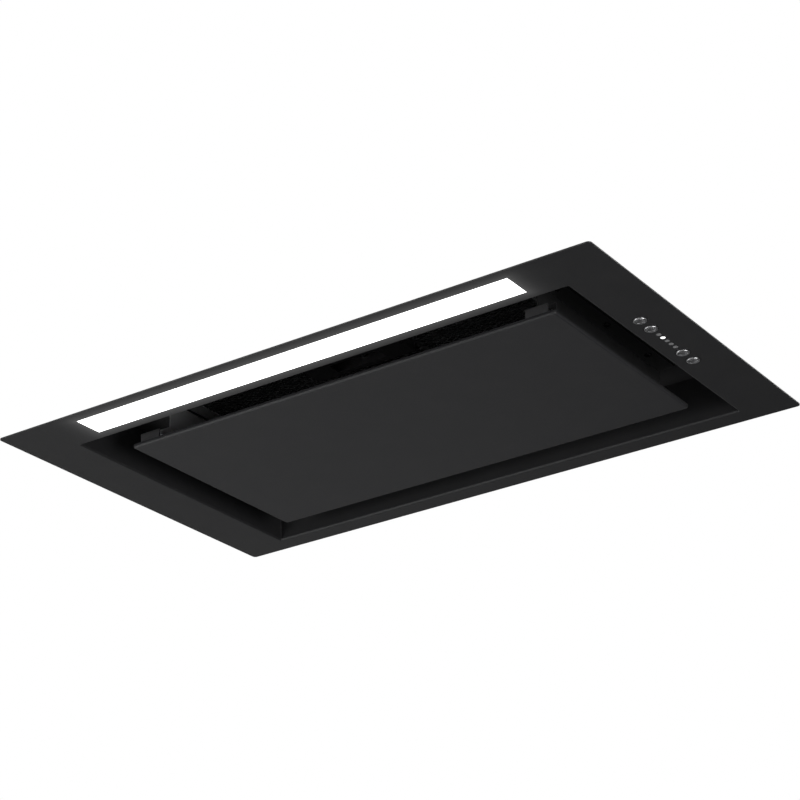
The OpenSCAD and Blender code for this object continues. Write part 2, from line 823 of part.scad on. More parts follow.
module latch_spring() {
    sides = 6;
    rings = 12 * spring_turns;
    color([0.75, 0.75, 0.76])
        polyhedron(
            points = [for (i = [0:rings]) for (k = [0:sides - 1]) spring_point(i / rings, 360 * k / sides)],
            faces = concat(
                [for (i = [0:rings - 1]) for (k = [0:sides - 1]) let (n = (k + 1) % sides)
                    [i * sides + k, (i + 1) * sides + k, (i + 1) * sides + n]],
                [for (i = [0:rings - 1]) for (k = [0:sides - 1]) let (n = (k + 1) % sides)
                    [i * sides + k, (i + 1) * sides + n, i * sides + n]],
                [[for (k = [0:sides - 1]) k]],
                [[for (k = [sides - 1:-1:0]) rings * sides + k]]));
}

// The blower's place sets the upper casing's depth and height

impeller_r = impeller_dia / 2;
scroll_r0 = impeller_r + scroll_gap;
scroll_r1 = scroll_r0 + scroll_growth;
tongue_angle = 60;
scroll_rise = 1.3 * scroll_r0;
scroll_wall = 2;
side_gap = 4;
scroll_half = impeller_w / 2 + side_gap;
scroll_clear = 5;
shoulder_front = 3.25;

function scroll_r(a) = scroll_r0 + scroll_growth * (a - tongue_angle) / (360 - tongue_angle);

upper_w = casing_w - 2 * shoulder_w;
upper_front_y = opening_y - casing_d / 2 + shoulder_front;
axis_y = upper_front_y + casing_t + 0.875 * scroll_r1 + scroll_clear;
axis_z = recess_h + filter_t + blower_lift + scroll_r(270) + scroll_wall;
top_z = axis_z + scroll_rise + fit;
tongue_y = scroll_r0 * cos(tongue_angle);
outlet_y = axis_y + (tongue_y + scroll_r1) / 2;
inlet_r = 0.76 * impeller_r;
bell_r = 5;

collar_r = collar_dia / 2;
collar_flange = 9;
collar_inset = 0.65;
collar_y = outlet_y - 0.2 * scroll_gap;
upper_rear_y = max(collar_y + collar_r + collar_flange + collar_inset,
    axis_y + scroll_r1 + scroll_wall + scroll_clear);
upper_d = upper_rear_y - upper_front_y;
upper_y = (upper_front_y + upper_rear_y) / 2;

// Casing

spring_w = 20;
spring_t = 0.8;
spring_out = 20;
spring_foot_gap = 3;
spring_head_gap = 12;
spring_z0 = facade_t + spring_foot_gap;
spring_z1 = fixing_z - spring_head_gap;

function side_spring_y(i) = opening_y + (i == 0 ? -1 : 1) * 0.5 * fixing_gap;

module casing_screw_places() {
    for (x = [-1, 1])
        for (y = [-1, 0, 1])
            translate([x * (upper_w / 2 + 2 * screw_head_r), upper_y + y * 0.4 * upper_d, 0]) children();
}

module top_screw_places() {
    for (x = [-1, 1])
        for (y = [-1, 1])
            translate([x * (upper_w / 2 - 3 * screw_head_r),
                upper_y + y * (upper_d / 2 - 3 * screw_head_r), 0]) children();
}

module collar_screw_places() {
    for (i = [0:3])
        translate([0, collar_y, 0]) rotate(45 + 90 * i) translate([collar_r + 0.5 * collar_flange, 0, 0])
            children();
}

// Screws that hang the scroll's two ears from the casing's top, beside the collar
module scroll_screw_places() {
    for (x = [-1, 1])
        for (y = [-1, 1])
            translate([x * (collar_r + collar_flange + 1.25 * screw_head_r),
                outlet_y + y * 0.3 * (scroll_r1 - tongue_y), 0]) children();
}

// Lower casing: four walls on the facade and a shoulder with a hole under the upper casing
module casing_lower() {
    color([0.72, 0.73, 0.74])
        difference() {
            translate([0, opening_y, facade_t]) {
                ring(casing_w, casing_d, opening_corner_r + facade_t, casing_t, shoulder_h - facade_t);
                translate([0, 0, shoulder_h - facade_t - casing_t])
                    linear_extrude(casing_t)
                        difference() {
                            plate_2d(casing_w, casing_d, opening_corner_r + facade_t);
                            plate_2d(upper_w - 2 * casing_t, upper_d - 2 * casing_t, opening_corner_r);
                        }
            }
            for (x = [-1, 1])
                for (i = [0, 1])
                    translate([0, side_spring_y(i), fixing_z])
                        rod_x(fixing_r, x * casing_w / 2 - (x > 0 ? 2 * casing_t : over),
                            x * casing_w / 2 + (x > 0 ? over : 2 * casing_t));
            casing_screw_places() translate([0, 0, shoulder_h - 2 * casing_t])
                cylinder(r = screw_r + run, h = 3 * casing_t);
        }
}

// Upper casing: a sleeve with a foot flange along its sides and a return flange at the top
module casing_upper() {
    foot = 4 * screw_head_r;
    lip = 4 * screw_head_r;
    color([0.74, 0.75, 0.76])
        difference() {
            translate([0, upper_y, shoulder_h]) {
                ring(upper_w, upper_d, opening_corner_r, casing_t, top_z - shoulder_h);
                for (x = [-1, 1])
                    translate([x * (upper_w / 2 + foot / 2 - casing_t / 2) - (foot + casing_t) / 2,
                        -upper_d / 2 + foot / 2, 0])
                        cube([foot + casing_t, upper_d - foot, casing_t]);
                translate([0, 0, top_z - shoulder_h - casing_t])
                    linear_extrude(casing_t)
                        difference() {
                            plate_2d(upper_w, upper_d, opening_corner_r);
                            plate_2d(upper_w - 2 * lip, upper_d - 2 * lip, opening_corner_r);
                        }
            }
            casing_screw_places() translate([0, 0, shoulder_h - over])
                cylinder(r = screw_r + run, h = casing_t + 2 * over);
            top_screw_places() translate([0, 0, top_z - casing_t - over])
                cylinder(r = screw_r + run, h = casing_t + 2 * over);
        }
}

module casing_top() {
    color([0.76, 0.77, 0.78])
        difference() {
            translate([0, upper_y, top_z]) {
                linear_extrude(casing_t)
                    plate_2d(upper_w + 2 * (casing_t + fit), upper_d + 2 * (casing_t + fit),
                    opening_corner_r + casing_t);
                translate([0, 0, -4 * screw_head_r])
                    ring(upper_w + 2 * (casing_t + fit), upper_d + 2 * (casing_t + fit),
                        opening_corner_r + casing_t + fit,
                        casing_t, 4 * screw_head_r);
            }
            translate([0, collar_y, top_z - over])
                cylinder(r = collar_r - collar_wall, h = casing_t + 2 * over);
            top_screw_places() translate([0, 0, top_z - over])
                cylinder(r = screw_r + run, h = casing_t + 2 * over);
            collar_screw_places() translate([0, 0, top_z - over])
                cylinder(r = screw_r + run, h = casing_t + 2 * over);
            scroll_screw_places() translate([0, 0, top_z - over])
                cylinder(r = screw_r + run, h = casing_t + 2 * over);
        }
}

module casing_screws() {
    color([0.62, 0.62, 0.63]) {
        scroll_screw_places() translate([0, 0, top_z + casing_t]) mirror([0, 0, 1]) screw_up(5 * casing_t);
        casing_screw_places() translate([0, 0, shoulder_h + casing_t]) mirror([0, 0, 1])
            screw_up(4 * casing_t);
        top_screw_places() translate([0, 0, top_z + casing_t]) mirror([0, 0, 1]) screw_up(5 * casing_t);
        collar_screw_places() translate([0, 0, top_z + casing_t + collar_wall]) mirror([0, 0, 1])
            screw_up(5 * casing_t);
    }
}

// Leaf springs that hold the hood in the cut-out while it is screwed in
module side_springs() {
    x0 = casing_w / 2;
    knee_z = spring_z0 + 0.38 * (spring_z1 - spring_z0);
    color([0.68, 0.68, 0.69])
        for (side = [-1, 1])
            for (i = [0, 1])
                mirror([side > 0 ? 0 : 1, 0, 0])
                    along_y(side_spring_y(i) + spring_w / 2, spring_w)
                        polygon([[x0, spring_z1], [x0, spring_z1 - spring_w / 2], [x0 + spring_out, knee_z],
                            [x0 + 3 * spring_t, spring_z0], [x0 + 4.2 * spring_t, spring_z0],
                            [x0 + spring_out + 1.5 * spring_t, knee_z],
                                [x0 + spring_t, spring_z1 - spring_w / 2 + spring_t],
                            [x0 + spring_t, spring_z1]]);
}

// Blower

// Outline of the scroll: a spiral that grows round to the outlet, and the outlet's straight neck
module scroll_2d(grow) {
    steps = 60;
    a0 = acos((tongue_y - grow) / (scroll_r0 + grow));
    polygon(concat(
        [for (i = [0:steps]) let (a = a0 + (360 - a0) * i / steps) (scroll_r(a) + grow) * [cos(a), sin(a)]],
        [[scroll_r1 + grow, scroll_rise], [tongue_y - grow, scroll_rise]]));
}

module at_axis() {
    translate([0, axis_y, axis_z]) children();
}

module scroll_shell() {
    color([0.15, 0.15, 0.16])
        at_axis()
            along_x(-scroll_half, 2 * scroll_half)
                difference() {
                    scroll_2d(scroll_wall);
                    scroll_2d(0);
                }
}

// Side plate with a bell-mouthed inlet, and an ear turned out at its top to hang it by
module scroll_side() {
    ear_l = collar_r + collar_flange + 2.5 * screw_head_r - scroll_half;
    difference() {
        translate([0, tongue_y - scroll_wall, scroll_rise - scroll_wall])
            cube([ear_l, scroll_r1 - tongue_y + 2 * scroll_wall, scroll_wall]);
        translate([-scroll_half, -axis_y, scroll_rise - scroll_wall - over])
            scroll_screw_places() cylinder(r = screw_r + run, h = scroll_wall + 2 * over);
    }
    rotate([0, 90, 0])
        rotate_extrude()
            translate([inlet_r, scroll_wall - bell_r])
                intersection() {
                    difference() {
                        translate([bell_r, 0]) circle(bell_r);
                        translate([bell_r, 0]) circle(bell_r - scroll_wall);
                    }
                    square([bell_r, bell_r]);
                }
    along_x(0, scroll_wall)
        difference() {
            scroll_2d(scroll_wall);
            circle(inlet_r + bell_r - scroll_wall / 2);
        }
}

module scroll_side_right() {
    color([0.17, 0.17, 0.18]) at_axis() translate([scroll_half, 0, 0]) scroll_side();
}

module scroll_side_left() {
    color([0.17, 0.17, 0.18]) at_axis() translate([-scroll_half, 0, 0]) mirror([1, 0, 0]) scroll_side();
}

// Impeller: forward-curved blades in two rows on a middle disc, with a ring at each end

blade_in_share = 0.81;
blade_out_share = 0.985;
blade_angle = 11;
disc_t = 2.4;
end_ring_t = 2.4;

function blade_point(t, side) =
    let (r = impeller_r * (blade_in_share + (blade_out_share - blade_in_share) * t))
    let (a = blade_angle * (1 - pow(1 - t, 2)) - 0.4 * blade_angle * (1 - t))
    let (half = side * blade_t / 2 / r * 180 / PI)
    r * [cos(a + half), sin(a + half)];

module blades_2d() {
    cuts = 4;
    for (i = [0:blade_count - 1])
        rotate(360 * i / blade_count)
            polygon(concat([for (k = [0:cuts]) blade_point(k / cuts, -1)],
                [for (k = [cuts:-1:0]) blade_point(k / cuts, 1)]));
}

module impeller() {
    hub_r = 2.6 * shaft_r;
    hub_x = 0.16 * impeller_w;
    embed = 0.4;
    row = impeller_w / 2 - end_ring_t - disc_t / 2;
    color([0.10, 0.10, 0.11])
        at_axis() {
            for (x = [disc_t / 2 - embed, -disc_t / 2 - row - embed])
                along_x(x, row + 2 * embed) blades_2d();
            rotate([0, 90, 0]) {
                for (side = [-1, 1])
                    translate([0, 0, side > 0 ? impeller_w / 2 - end_ring_t : -impeller_w / 2])
                        rotate_extrude() translate([0.86 * impeller_r, 0])
                            square([0.14 * impeller_r, end_ring_t]);
                rotate_extrude()
                    translate([shaft_r + run, -disc_t / 2]) {
                        square([impeller_r - shaft_r - run, disc_t]);
                        square([hub_r - shaft_r - run, hub_x]);
                    }
            }
        }
}

// Motor in the left row of the impeller, carried by a spider on the left side plate

motor_clear = 4;
motor_tail = 6;
motor_front = -disc_t / 2 - motor_clear;
motor_back = -scroll_half - motor_tail;
spider_t = 3;
bush_r = 5;
bush_inset = 6;
bush_ring_r = inlet_r + bell_r + bush_inset;

module motor() {
    ribs = 18;
    length = motor_front - motor_back;
    color([0.55, 0.56, 0.58])
        at_axis()
            translate([motor_back, 0, 0]) rotate([0, 90, 0])
                difference() {
                    union() {
                        rotate_extrude()
                            polygon([[0, 0], [0.82 * motor_r, 0], [0.93 * motor_r, 0.06 * length],
                                [0.93 * motor_r, 0.94 * length], [0.82 * motor_r, length],
                                [0.35 * motor_r, length], [0.3 * motor_r, 1.03 * length],
                                    [0, 1.03 * length]]);
                        for (i = [0:ribs - 1])
                            rotate(360 * i / ribs)
                                translate([0.85 * motor_r, -0.02 * motor_r, 0.12 * length])
                                    cube([0.15 * motor_r, 0.04 * motor_r, 0.76 * length]);
                    }
                    translate([0, 0, -over]) cylinder(r = shaft_r + run, h = 1.03 * length + 2 * over);
                }
}

module motor_shaft() {
    color([0.78, 0.78, 0.79])
        at_axis() rod_x(shaft_r, motor_back + motor_tail / 2, -disc_t / 2 + 0.16 * impeller_w + shaft_r);
}

// Three arms from a hoop round the motor's rear to the side plate
module motor_spider() {
    hoop_in = 0.93 * motor_r + run;
    hoop_r = hoop_in + spider_t;
    x0 = -scroll_half - scroll_wall - bell_r;
    color([0.60, 0.61, 0.62])
        at_axis()
            difference() {
                union() {
                    translate([x0, 0, 0]) rotate([0, 90, 0])
                        rotate_extrude() translate([hoop_in, 0]) square([hoop_r - hoop_in, 2.4 * spider_t]);
                    for (i = [0:2])
                        rotate([120 * i + 30, 0, 0])
                            translate([x0, -bush_r, hoop_r - spider_t / 3])
                                cube([spider_t, 2 * bush_r, bush_ring_r - hoop_r + bush_r]);
                }
                for (i = [0:2])
                    rotate([120 * i + 30, 0, 0])
                        translate([0, 0, bush_ring_r])
                            rod_x(screw_r + run, x0 - over, x0 + spider_t + over);
            }
}

// Rubber bushes between the spider's arms and the side plate, each with its screw's hole
module motor_bushes() {
    x0 = -scroll_half - scroll_wall - bell_r + spider_t;
    color([0.05, 0.05, 0.05])
        at_axis()
            for (i = [0:2])
                rotate([120 * i + 30, 0, 0])
                    translate([0, 0, bush_ring_r])
                        difference() {
                            rod_x(0.8 * bush_r, x0, -scroll_half - scroll_wall);
                            rod_x(screw_r + run, x0 - over, -scroll_half - scroll_wall + over);
                        }
}

// Motor capacitor in a clip on the upper casing's left wall

capacitor_r = 15;
capacitor_l = 55;
capacitor_y = upper_y + 0.25 * upper_d;
clip_foot = 4;
capacitor_lift = 30;
capacitor_x = -upper_w / 2 + casing_t + capacitor_r + clip_foot;
capacitor_z = shoulder_h + capacitor_lift;

module capacitor() {
    groove = 0.07 * capacitor_r;
    color([0.85, 0.85, 0.83])
        translate([capacitor_x, capacitor_y, capacitor_z])
            rotate_extrude()
                difference() {
                    square([capacitor_r, capacitor_l]);
                    translate([0.8 * capacitor_r, capacitor_l - groove])
                        square([0.1 * capacitor_r, groove + over]);
                }
}

module capacitor_clip() {
    band = 14;
    clip_t = 1.5;
    color([0.70, 0.70, 0.71])
        translate([capacitor_x, capacitor_y, capacitor_z + capacitor_l / 2 - band / 2])
            difference() {
                union() {
                    cylinder(r = capacitor_r + clip_t, h = band);
                    translate([-capacitor_r - clip_foot, -band / 2, 0]) cube([1.5 * clip_foot, band, band]);
                }
                translate([0, 0, -over]) cylinder(r = capacitor_r + run, h = band + 2 * over);
                translate([capacitor_r / 2, -0.2 * capacitor_r, -over])
                    cube([capacitor_r, 0.4 * capacitor_r, band + 2 * over]);
            }
}

// Outlet collar with two non-return flaps on one rod

rod_r = 1.5;
flap_lift = 12;
flap_z = top_z + casing_t + flap_lift;
flap_t = 1.4;
knuckle_r = 3;
flap_play = 1.4;
knuckle_l = 0.2 * collar_dia;

module outlet_collar() {
    inner = collar_r - collar_wall;
    stop = 3;
    z0 = top_z + casing_t;
    stop_z = flap_z - z0 - flap_t / 2 - fit;
    color([0.14, 0.14, 0.15])
        difference() {
            translate([0, collar_y, z0])
                rotate_extrude()
                    polygon([[collar_r + collar_flange, 0], [collar_r + collar_flange, collar_wall],
                        [collar_r, collar_wall], [collar_r, collar_h - collar_wall],
                        [collar_r - collar_wall / 2, collar_h], [inner, collar_h],
                        [inner, stop_z], [inner - stop, stop_z], [inner - stop, stop_z - stop / 2],
                        [inner, stop_z - 1.5 * stop], [inner, 0]]);
            translate([0, collar_y, flap_z]) rod_x(rod_r + run, -collar_r - over, collar_r + over);
            collar_screw_places() translate([0, 0, z0 - over])
                cylinder(r = screw_r + run, h = collar_wall + 2 * over);
        }
}

module flap_rod() {
    color([0.78, 0.78, 0.79])
        translate([0, collar_y, flap_z]) rod_x(rod_r, -collar_r + fit, collar_r - fit);
}

// One flap, a half disc with two knuckles. side is -1 for the front flap and 1 for the rear one.
// The knuckles of the two flaps take turns along the rod
module flap(side) {
    plate_r = collar_r - collar_wall - flap_play;
    first = -1.5 * knuckle_l + (side > 0 ? knuckle_l : 0) - 0.5 * knuckle_l;
    translate([0, collar_y, flap_z]) {
        difference() {
            union() {
                intersection() {
                    translate([0, 0, -flap_t / 2]) cylinder(r = plate_r, h = flap_t);
                    translate([-plate_r, side > 0 ? knuckle_r + fit : -plate_r - knuckle_r - fit, -flap_t])
                        cube([2 * plate_r, plate_r, 2 * flap_t]);
                }
                for (k = [0, 1])
                    translate([first + 2 * k * knuckle_l + fit, side > 0 ? 0 : -knuckle_r - 2 * fit,
                        -flap_t / 2])
                        cube([knuckle_l - 2 * fit, knuckle_r + 2 * fit, flap_t]);
                for (k = [0, 1])
                    rod_x(knuckle_r, first + 2 * k * knuckle_l + fit,
                        first + (2 * k + 1) * knuckle_l - fit);
            }
            rod_x(rod_r + run, -plate_r, plate_r);
        }
    }
}

module flap_front() {
    color([0.20, 0.20, 0.21]) flap(-1);
}

module flap_rear() {
    color([0.20, 0.20, 0.21]) flap(1);
}

// Electronics on the right shoulder

ebox_w = 44;
ebox_d = 150;
ebox_h = 38;
ebox_wall = 1.8;
shoulder_in = upper_w / 2 + 4 * screw_head_r;
ebox_inset = 1.5;
ebox_side = min(ebox_w, casing_w / 2 - shoulder_in - ebox_inset - fit);
ebox_x = casing_w / 2 - ebox_inset - ebox_side / 2;
ebox_y = opening_y;
ebox_z = shoulder_h + fit / 3;
gland_r = 8;
gland_x = ebox_x;
gland_z = ebox_z + 0.55 * ebox_h;

module electronics_box() {
    color([0.88, 0.88, 0.86])
        difference() {
            translate([ebox_x - ebox_side / 2, ebox_y - ebox_d / 2, ebox_z])
                cube([ebox_side, ebox_d, ebox_h]);
            translate([ebox_x - ebox_side / 2 + ebox_wall, ebox_y - ebox_d / 2 + ebox_wall,
                ebox_z + ebox_wall])
                cube([ebox_side - 2 * ebox_wall, ebox_d - 2 * ebox_wall, ebox_h]);
            translate([gland_x, 0, gland_z])
                rod_y(0.7 * gland_r + run, ebox_y + ebox_d / 2 - ebox_wall - over,
                    ebox_y + ebox_d / 2 + over);
            translate([lamp_lead_x, 0, lead_z])
                rod_y(lead_r + run, ebox_y - ebox_d / 2 - over, ebox_y - ebox_d / 2 + ebox_wall + over);
            translate([0, control_lead_y, lead_z])
                rod_x(lead_r + run, ebox_x + ebox_side / 2 - ebox_wall - over,
                    ebox_x + ebox_side / 2 + over);
        }
}

module electronics_lid() {
    color([0.86, 0.86, 0.84]) {
        translate([ebox_x - ebox_side / 2, ebox_y - ebox_d / 2, ebox_z + ebox_h])
            cube([ebox_side, ebox_d, ebox_wall]);
        translate([ebox_x - ebox_side / 2 + ebox_wall + fit, ebox_y - ebox_d / 2 + ebox_wall + fit,
            ebox_z + ebox_h - ebox_wall])
            cube([ebox_side - 2 * ebox_wall - 2 * fit, ebox_d - 2 * ebox_wall - 2 * fit, 1.5 * ebox_wall]);
    }
}

module power_board() {
    w = ebox_side - 2 * ebox_wall - 2 * fit;
    d = ebox_d - 2 * ebox_wall - 2 * fit;
    z0 = ebox_z + ebox_wall;
    color([0.12, 0.40, 0.24])
        translate([ebox_x - w / 2, ebox_y - d / 2, z0]) {
            cube([w, d, board_t]);
            translate([0.15 * w, 0.36 * d, board_t / 2]) cube([0.7 * w, 0.16 * d, 0.4 * ebox_h]);
            for (k = [0, 1])
                translate([0.15 * w, (0.58 + 0.11 * k) * d, board_t / 2])
                    cube([0.5 * w, 0.08 * d, 0.32 * ebox_h]);
            translate([0.8 * w, 0.62 * d, board_t / 2]) cylinder(r = 0.12 * w, h = 0.4 * ebox_h);
        }
}

module terminal_block() {
    ways = 4;
    pitch = 0.6 * ebox_side / ways;
    color([0.92, 0.92, 0.90])
        translate([ebox_x - ways * pitch / 2, ebox_y + 0.32 * ebox_d, ebox_z + ebox_wall + board_t])
            difference() {
                cube([ways * pitch, 2 * pitch, 2 * pitch]);
                for (i = [0:ways - 1])
                    translate([(i + 0.5) * pitch, pitch, pitch])
                        cylinder(r = 0.3 * pitch, h = pitch + over);
            }
}

// Screwed gland that grips a supply cable
module cable_gland() {
    length = 2.6 * gland_r;
    color([0.20, 0.20, 0.21])
        translate([gland_x, ebox_y + ebox_d / 2, gland_z])
            rotate([-90, 0, 0])
                rotate_extrude()
                    polygon([[0.4 * gland_r, -2 * ebox_wall], [0.7 * gland_r, -2 * ebox_wall],
                        [0.7 * gland_r, 0],
                        [gland_r, 0], [gland_r, 0.5 * gland_r], [0.85 * gland_r, 0.6 * gland_r],
                        [gland_r, 0.7 * gland_r], [gland_r, 0.6 * length], [0.55 * gland_r, length],
                        [0.4 * gland_r, length]]);
}

// Leads along the casing: straight up from their housing, one bend, then into the electronics box

lead_r = 2.2;
lead_bend = 8;
lead_lift = 14;
lead_z = shoulder_h + lead_lift;
lamp_lead_x = lamp_body_w / 2 - 3.5 * lead_r;
lamp_lead_y = lamp_y;
control_lead_x = ebox_x + ebox_side / 2 + lead_bend + fit;
control_lead_y = 0;

module lamp_lead() {
    z0 = facade_t + lamp_h - lead_r;
    z1 = lead_z - lead_bend;
    color([0.90, 0.90, 0.89]) {
        translate([lamp_lead_x, lamp_lead_y, z0]) cylinder(r = lead_r, h = z1 - z0);
        translate([lamp_lead_x, lamp_lead_y + lead_bend, z1])
            rotate([90, 0, -90]) rotate_extrude(angle = 90) translate([lead_bend, 0]) circle(lead_r);
        translate([lamp_lead_x, 0, lead_z])
            rod_y(lead_r, lamp_lead_y + lead_bend, ebox_y - ebox_d / 2 + ebox_wall + lead_r);
    }
}

module control_lead() {
    z0 = control_top;
    z1 = lead_z - lead_bend;
    color([0.90, 0.90, 0.89]) {
        translate([control_lead_x, control_lead_y, z0]) cylinder(r = lead_r, h = z1 - z0);
        translate([control_lead_x - lead_bend, control_lead_y, z1])
            rotate([90, 0, 0]) rotate_extrude(angle = 90) translate([lead_bend, 0]) circle(lead_r);
        translate([0, control_lead_y, lead_z])
            rod_x(lead_r, ebox_x + ebox_side / 2 - ebox_wall - lead_r, control_lead_x - lead_bend);
    }
}

// Lifts the hood so that its lowest points, the faces of the caps, lie at z = 0
module lifted() {
    translate([0, 0, button_proud]) children();
}

lifted() facade_plate();
lifted() recess_ceiling();
lifted() lamp_diffuser();
lifted() lamp_housing();
lifted() led_board();
lifted() control_housing();
lifted() control_lid();
lifted() control_board();
lifted() tact_switches();
lifted() indicator_lenses();
lifted() button(0);  // button_1
lifted() button(1);  // button_2
lifted() button(2);  // button_3
lifted() button(3);  // button_4
lifted() stud_nuts();
lifted() panel_skin();
lifted() panel_stiffener();
lifted() panel_catch_tabs();
lifted() panel_hinge_arms();
lifted() hinge_pins();
lifted() bracket_left();
lifted() bracket_right();
lifted() bracket_screws();
lifted() catch_clips();
lifted() filter_frame();
lifted() filter_cover();
lifted() filter_pack();
lifted() filter_grip();
lifted() filter_latch();
lifted() latch_spring();
lifted() casing_lower();
lifted() casing_upper();
lifted() casing_top();
lifted() casing_screws();
lifted() side_springs();
lifted() scroll_shell();
lifted() scroll_side_left();
lifted() scroll_side_right();
lifted() impeller();
lifted() motor();
lifted() motor_shaft();
lifted() motor_spider();
lifted() motor_bushes();
lifted() capacitor();
lifted() capacitor_clip();
lifted() outlet_collar();
lifted() flap_rod();
lifted() flap_front();
lifted() flap_rear();
lifted() electronics_box();
lifted() electronics_lid();
lifted() power_board();
lifted() terminal_block();
lifted() cable_gland();
lifted() lamp_lead();
lifted() control_lead();
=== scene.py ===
"""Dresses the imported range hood: finishes for every piece, small turned and pressed parts, a plain studio."""

import json
import math
import bpy
from mathutils import Matrix, Vector


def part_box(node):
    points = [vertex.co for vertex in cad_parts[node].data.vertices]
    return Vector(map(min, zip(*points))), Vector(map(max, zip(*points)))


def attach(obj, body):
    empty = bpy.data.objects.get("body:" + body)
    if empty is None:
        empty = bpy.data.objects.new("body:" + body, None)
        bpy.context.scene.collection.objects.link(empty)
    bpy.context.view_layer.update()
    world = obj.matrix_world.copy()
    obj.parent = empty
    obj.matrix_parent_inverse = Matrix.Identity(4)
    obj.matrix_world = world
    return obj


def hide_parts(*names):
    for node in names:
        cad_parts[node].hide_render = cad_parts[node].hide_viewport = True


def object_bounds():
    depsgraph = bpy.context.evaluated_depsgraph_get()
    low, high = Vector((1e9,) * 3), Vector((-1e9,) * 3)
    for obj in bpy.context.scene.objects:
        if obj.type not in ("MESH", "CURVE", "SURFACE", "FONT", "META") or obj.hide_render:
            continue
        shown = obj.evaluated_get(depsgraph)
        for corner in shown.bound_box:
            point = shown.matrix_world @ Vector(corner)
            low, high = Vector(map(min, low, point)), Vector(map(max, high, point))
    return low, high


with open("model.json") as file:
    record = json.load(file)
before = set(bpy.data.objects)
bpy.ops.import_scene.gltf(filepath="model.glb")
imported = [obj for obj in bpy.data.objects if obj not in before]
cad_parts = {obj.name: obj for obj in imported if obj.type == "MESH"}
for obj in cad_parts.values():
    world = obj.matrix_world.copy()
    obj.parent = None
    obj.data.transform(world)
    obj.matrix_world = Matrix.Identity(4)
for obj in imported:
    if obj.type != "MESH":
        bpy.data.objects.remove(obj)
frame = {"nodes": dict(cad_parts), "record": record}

bl_info = {
    "name": "Built-in range hood",
    "version": (1, 0, 0),
    "blender": (4, 5, 0),
    "location": "View3D > Sidebar > Hood",
    "description": "Finishes and small parts of a built-in range hood over its solid model",
    "category": "Object",
}

MM = 0.001
MERGE = 0.002 * MM
ORIGIN = (0.0, 0.0, 0.0)
UPSIDE_DOWN = Matrix.Rotation(math.pi, 4, "X")
TO_Y = Matrix.Rotation(-math.pi / 2, 4, "X")
NODES = frame["nodes"]
CAD_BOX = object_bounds()
LAMP_LOW, LAMP_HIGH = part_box("lamp_diffuser")
LAMP_FLANGE = Vector((3 * MM, 1.8 * MM, 0.0))
LAMP_GAP = (LAMP_LOW + LAMP_FLANGE, LAMP_HIGH - LAMP_FLANGE)
FACADE_LOW, FACADE_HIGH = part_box("facade_plate")
CASING_LOW, CASING_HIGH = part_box("casing_lower")
BUTTONS = ("button_1", "button_2", "button_3", "button_4")


# Sizes and colours that a user would change


def a_colour(name, description, default):
    return bpy.props.FloatVectorProperty(
        name=name, description=description, subtype="COLOR", size=3, default=default, min=0.0, max=1.0)


def a_number(name, description, default, least=0.0):
    return bpy.props.FloatProperty(name=name, description=description, default=default, min=least)


def a_length(name, description, default, least):
    return bpy.props.FloatProperty(
        name=name, description=description, default=default, min=least, unit="LENGTH")


class HoodFinish(bpy.types.PropertyGroup):
    coat_colour: a_colour("Coat", "Colour of the black powder coat", (0.0135, 0.0135, 0.0145))
    coat_roughness: a_number("Coat roughness", "How dull the powder coat is", 0.5)
    coat_grain: a_length("Coat grain", "Width of a grain of the powder coat", 0.9 * MM, 0.1 * MM)
    zinc_colour: a_colour("Zinc", "Colour of the zinc-coated sheet", (0.56, 0.58, 0.60))
    spangle: a_length("Spangle", "Width of a zinc crystal on the sheet", 6 * MM, 1 * MM)
    button_colour: a_colour("Buttons", "Colour of the buttons' metal", (0.58, 0.58, 0.59))
    plastic_colour: a_colour("Black plastic", "Colour of the moulded black pieces", (0.022, 0.022, 0.024))
    white_colour: a_colour("White plastic", "Colour of the moulded white pieces", (0.74, 0.74, 0.71))
    lamp_colour: a_colour("Lamp", "Colour of the lit strip", (1.0, 0.995, 0.985))
    lamp_strength: a_number("Lamp strength", "How bright the lit strip is", 3.0)
    # reach of the glow painted onto the sheet round the lamp strip
    halo_reach: a_length("Halo reach", "Distance over which the lamp's spill fades", 6 * MM, 0.5 * MM)
    lit_indicator: bpy.props.IntProperty(
        name="Lit indicator", description="Which one is lit, counted from the lamp", default=2, min=1, max=5)


class HoodDetail(bpy.types.PropertyGroup):
    cap_bevel: a_length("Cap bevel", "Width of the edge turned on a button's cap", 0.6 * MM, 0.1 * MM)
    cap_dish: a_length("Cap dish", "Depth of the hollow in a button's cap", 0.7 * MM, 0.0)
    recess_depth: a_length("Screw recess", "Depth of the cross in a screw's head", 1.1 * MM, 0.1 * MM)
    rivet_radius: a_length("Rivet radius", "Radius of a blind rivet's head", 3.2 * MM, 1 * MM)
    diamond_length: a_length("Diamond", "Length of a diamond of the expanded sheet", 9 * MM, 4 * MM)
    strand_width: a_length("Strand", "Width of a strand of the expanded sheet", 1.1 * MM, 0.4 * MM)
    grommet_wall: a_length("Grommet wall", "Thickness of the ring round a lead", 1.1 * MM, 0.5 * MM)


